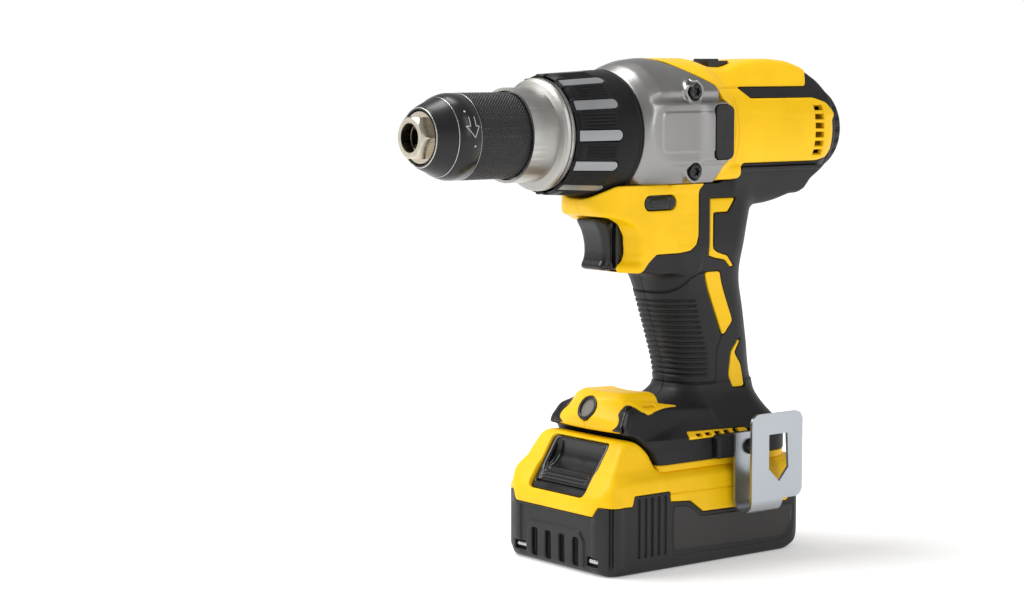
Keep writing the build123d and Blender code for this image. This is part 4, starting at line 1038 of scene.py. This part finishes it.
def pack_yellow(x, y, z):
    outside = pack_outside(x, y, z)
    body = both(outside, split_height(x, y) + 0.1 - z, 0.7)
    tower = block(x, y, z, (-26, 26), (-29.8, 54), (46, 60.5), 0.8)
    rail_groove = block(x, y, z, (23.2, 30), (-30.5, 55), (53.1, 55.9))
    body = union(body, without(tower, rail_groove))
    height = z - 39.0 + 0.012 * (y + 25)
    line = every(np.abs(height) - 0.32, slab(y, -25, 63), -outside - 0.6, 36 - x)
    terminal_room = block(x, y, z, (-20, 20), (-26, 50), (44, 58), 1.0)
    body = carved(body, (line, 0.3), (pack_hollow(x, y, z), 0), (terminal_room, 0))
    for place in (0, 7, 14):
        slot = block(x, y, z, (place - 1.2, place + 1.2), (24, 55), (51, 62))
        body = without(body, slot, 0.3)
    up, height = latch_frame(y, z)
    window = both(oval(x, up, 22.4, 15.9, 3.2), -14 - height)
    return without(body, window, 1.2)


def pack_dark(x, y, z):
    body = both(pack_outside(x, y, z) + 0.3, z - split_height(x, y) + 0.1, 0.6)
    face = every(slab(y, -80, -67.2), np.abs(x) - 28.5, z - 29.0)
    body = without(body, without(face, FRONT_FRAME(x, z)), 0.8)
    for place in (5.5, 16.5):
        slot = both(oval(x - place, z - 10.6, 2.3, 7.4, 1.5), y + 65.6)
        body = without(body, slot, 0.6)
    ribs = np.full(x.shape, FAR, np.float32)
    for number in range(5):
        ribs = np.minimum(ribs, oval(y + 46.5 - 4.4 * number, z - 23.4, 0.95, 15.2, 0.8))
    corner_grooves = np.minimum(np.hypot(x - 29.6, y + 69.4), np.hypot(x - 42.6, y + 53.6)) - 1.1
    corner_line = np.hypot(x - 40.0, y + 64.0) - 1.2
    label_bay = every(LABEL_BAY(y, z), 40.6 - x)
    bolt_notch = block(x, y, z, (24.6, 33.6), (-72, -64.5), (4.6, 9.4), 0.6)
    body = carved(body, (both(ribs, 39.8 - x), 0.5), (corner_grooves, 0.7), (corner_line, 0.6),
                  (label_bay, 0.7), (bolt_notch, 0.4))
    for place in PACK_SCREW_YS:
        body = without(body, both(np.hypot(x - PACK_SCREW_X, y - place) - 3.8, z - 4.4), 0.3)
    return without(body, pack_hollow(x, y, z))


PACK_STEP = STEP * 1.2
piece("pack_upper_shell", whole(pack_yellow, (0, -71, 24), (43, 72, 69), PACK_STEP), "pack",
      "housing_yellow", ["pack_upper_case"])
piece("pack_lower_shell", whole(pack_dark, (0, -71, -1), (43, 72, 42), PACK_STEP), "pack",
      "pack_dark", ["pack_lower_case"])


def label_field(x, y, z):
    return every(x - 40.95, LABEL(y, z) + 0.5, 39.8 - x, z - split_height(x, y) + 0.8, blend=0.3)


piece("pack_side_labels", whole(label_field, (0, -30, 4), (43, 66, 36)), "pack", "pack_dark",
      finish=LABEL_GREY)


def corner_bolts(x, y, z):
    """Short pins that show in the notches at the pack's front corners."""
    from_axis = np.hypot(y + 64.6, z - 7.0)
    stem = both(from_axis - 1.7, slab(x, 25.2, 33.0), 0.4)
    return without(stem, both(from_axis - 0.8, x - 26.0), 0.2)


piece("pack_corner_bolts", whole(corner_bolts, (0, -68, 4), (35, -61, 10), STEP * 0.6), "pack",
      "gear_steel")


def latch_field(x, y, z):
    up, height = latch_frame(y, z)
    plate = every(oval(x, up, 21.9, 15.4, 2.8), slab(height, -8, -0.1), blend=1.2)
    scoop = both(np.hypot((up - 5.2) * 0.95, height - 5.6) - 10.4, np.abs(x) - 18.6, 2.5)
    plate = without(plate, scoop, 1.4)
    ridge = 0.4 * np.cos(2 * math.pi * (up + 4.0) / 1.9) * band(up, -9.6, -8.9, -2.8, -2.0)
    ridge = ridge * (1 - ramp(np.abs(x), 16.5, 18.0))
    plate = plate + (0.35 * (ridge != 0) - ridge) * (height > -3.0)
    lip = every(np.abs(up + 10.9) - 0.5, np.abs(x) - 20.0, -1.6 - height)
    return without(plate, lip, 0.6)


piece("pack_latch_button", whole(latch_field, (0, -72, 36), (23, -40, 67)), "pack_latch",
      "latch_black", ["pack_latch"])


# ---- scene ----
def add_light(name, kind, place, aim, power):
    light = bpy.data.lights.new(name, kind)
    light.energy = power
    lamp = bpy.data.objects.new(name, light)
    lamp.location = place
    lamp.rotation_euler = (Vector(aim) - Vector(place)).to_track_quat("-Z", "Y").to_euler()
    bpy.context.scene.collection.objects.link(lamp)
    return light


DRILL_MIDDLE = (0, 0, 0.15)
add_light("key", "SUN", (-0.62, -0.79, 1.05), (0, 0, 0), 2.1).angle = math.radians(38)
top = add_light("top", "AREA", (-0.5, -0.1, 1.8), DRILL_MIDDLE, 13)
top.size = 0.7
strip = add_light("side_strip", "AREA", (1.5, 0.2, 1.0), DRILL_MIDDLE, 6)
strip.shape, strip.size, strip.size_y = "RECTANGLE", 0.25, 1.4

floor_mesh = bpy.data.meshes.new("floor")
floor_mesh.from_pydata([(-9, -9, 0), (9, -9, 0), (9, 9, 0), (-9, 9, 0)], [], [(0, 1, 2, 3)])
floor = bpy.data.objects.new("floor", floor_mesh)
bpy.context.scene.collection.objects.link(floor)
floor_white = material("floor_white", grey(0.80), 0.7, grain=120, relief=0.01, mottling=0.004, shine=0.1)
floor_shader = floor_white.node_tree.nodes["Principled BSDF"]
floor_shader.inputs["Emission Strength"].default_value = 0.30
floor_mesh.materials.append(floor_white)

# The sky is brightest at the horizon, so the sides of the tool reflect white and its top stays calm.
world = bpy.data.worlds.new("studio")
bpy.context.scene.world = world
world.use_nodes = True
sky = world.node_tree
split = new_node(sky, "SeparateXYZ")
sky.links.new(new_node(sky, "TexCoord").outputs["Generated"], split.inputs["Vector"])
brightness = new_node(sky, "MapRange", From_Min=0.07, From_Max=0.4, To_Min=1.02, To_Max=0.42)
brightness.interpolation_type = "SMOOTHSTEP"
sky.links.new(split.outputs["Z"], brightness.inputs["Value"])
sky.links.new(brightness.outputs["Result"], sky.nodes["Background"].inputs["Strength"])
sky.nodes["Background"].inputs["Color"].default_value = (1, 1, 1, 1)

camera_data = bpy.data.cameras.new("camera")
camera_data.lens = 84.4
camera = bpy.data.objects.new("camera", camera_data)
# 52 degrees round from the front to the tool's left, looking 6 degrees down.
camera.location = (0.9387, -0.8290, 0.2607)
camera.rotation_euler = (math.radians(90 - 6), 0, math.radians(52))
bpy.context.scene.collection.objects.link(camera)
bpy.context.scene.camera = camera
bpy.context.scene.view_settings.view_transform = "Standard"
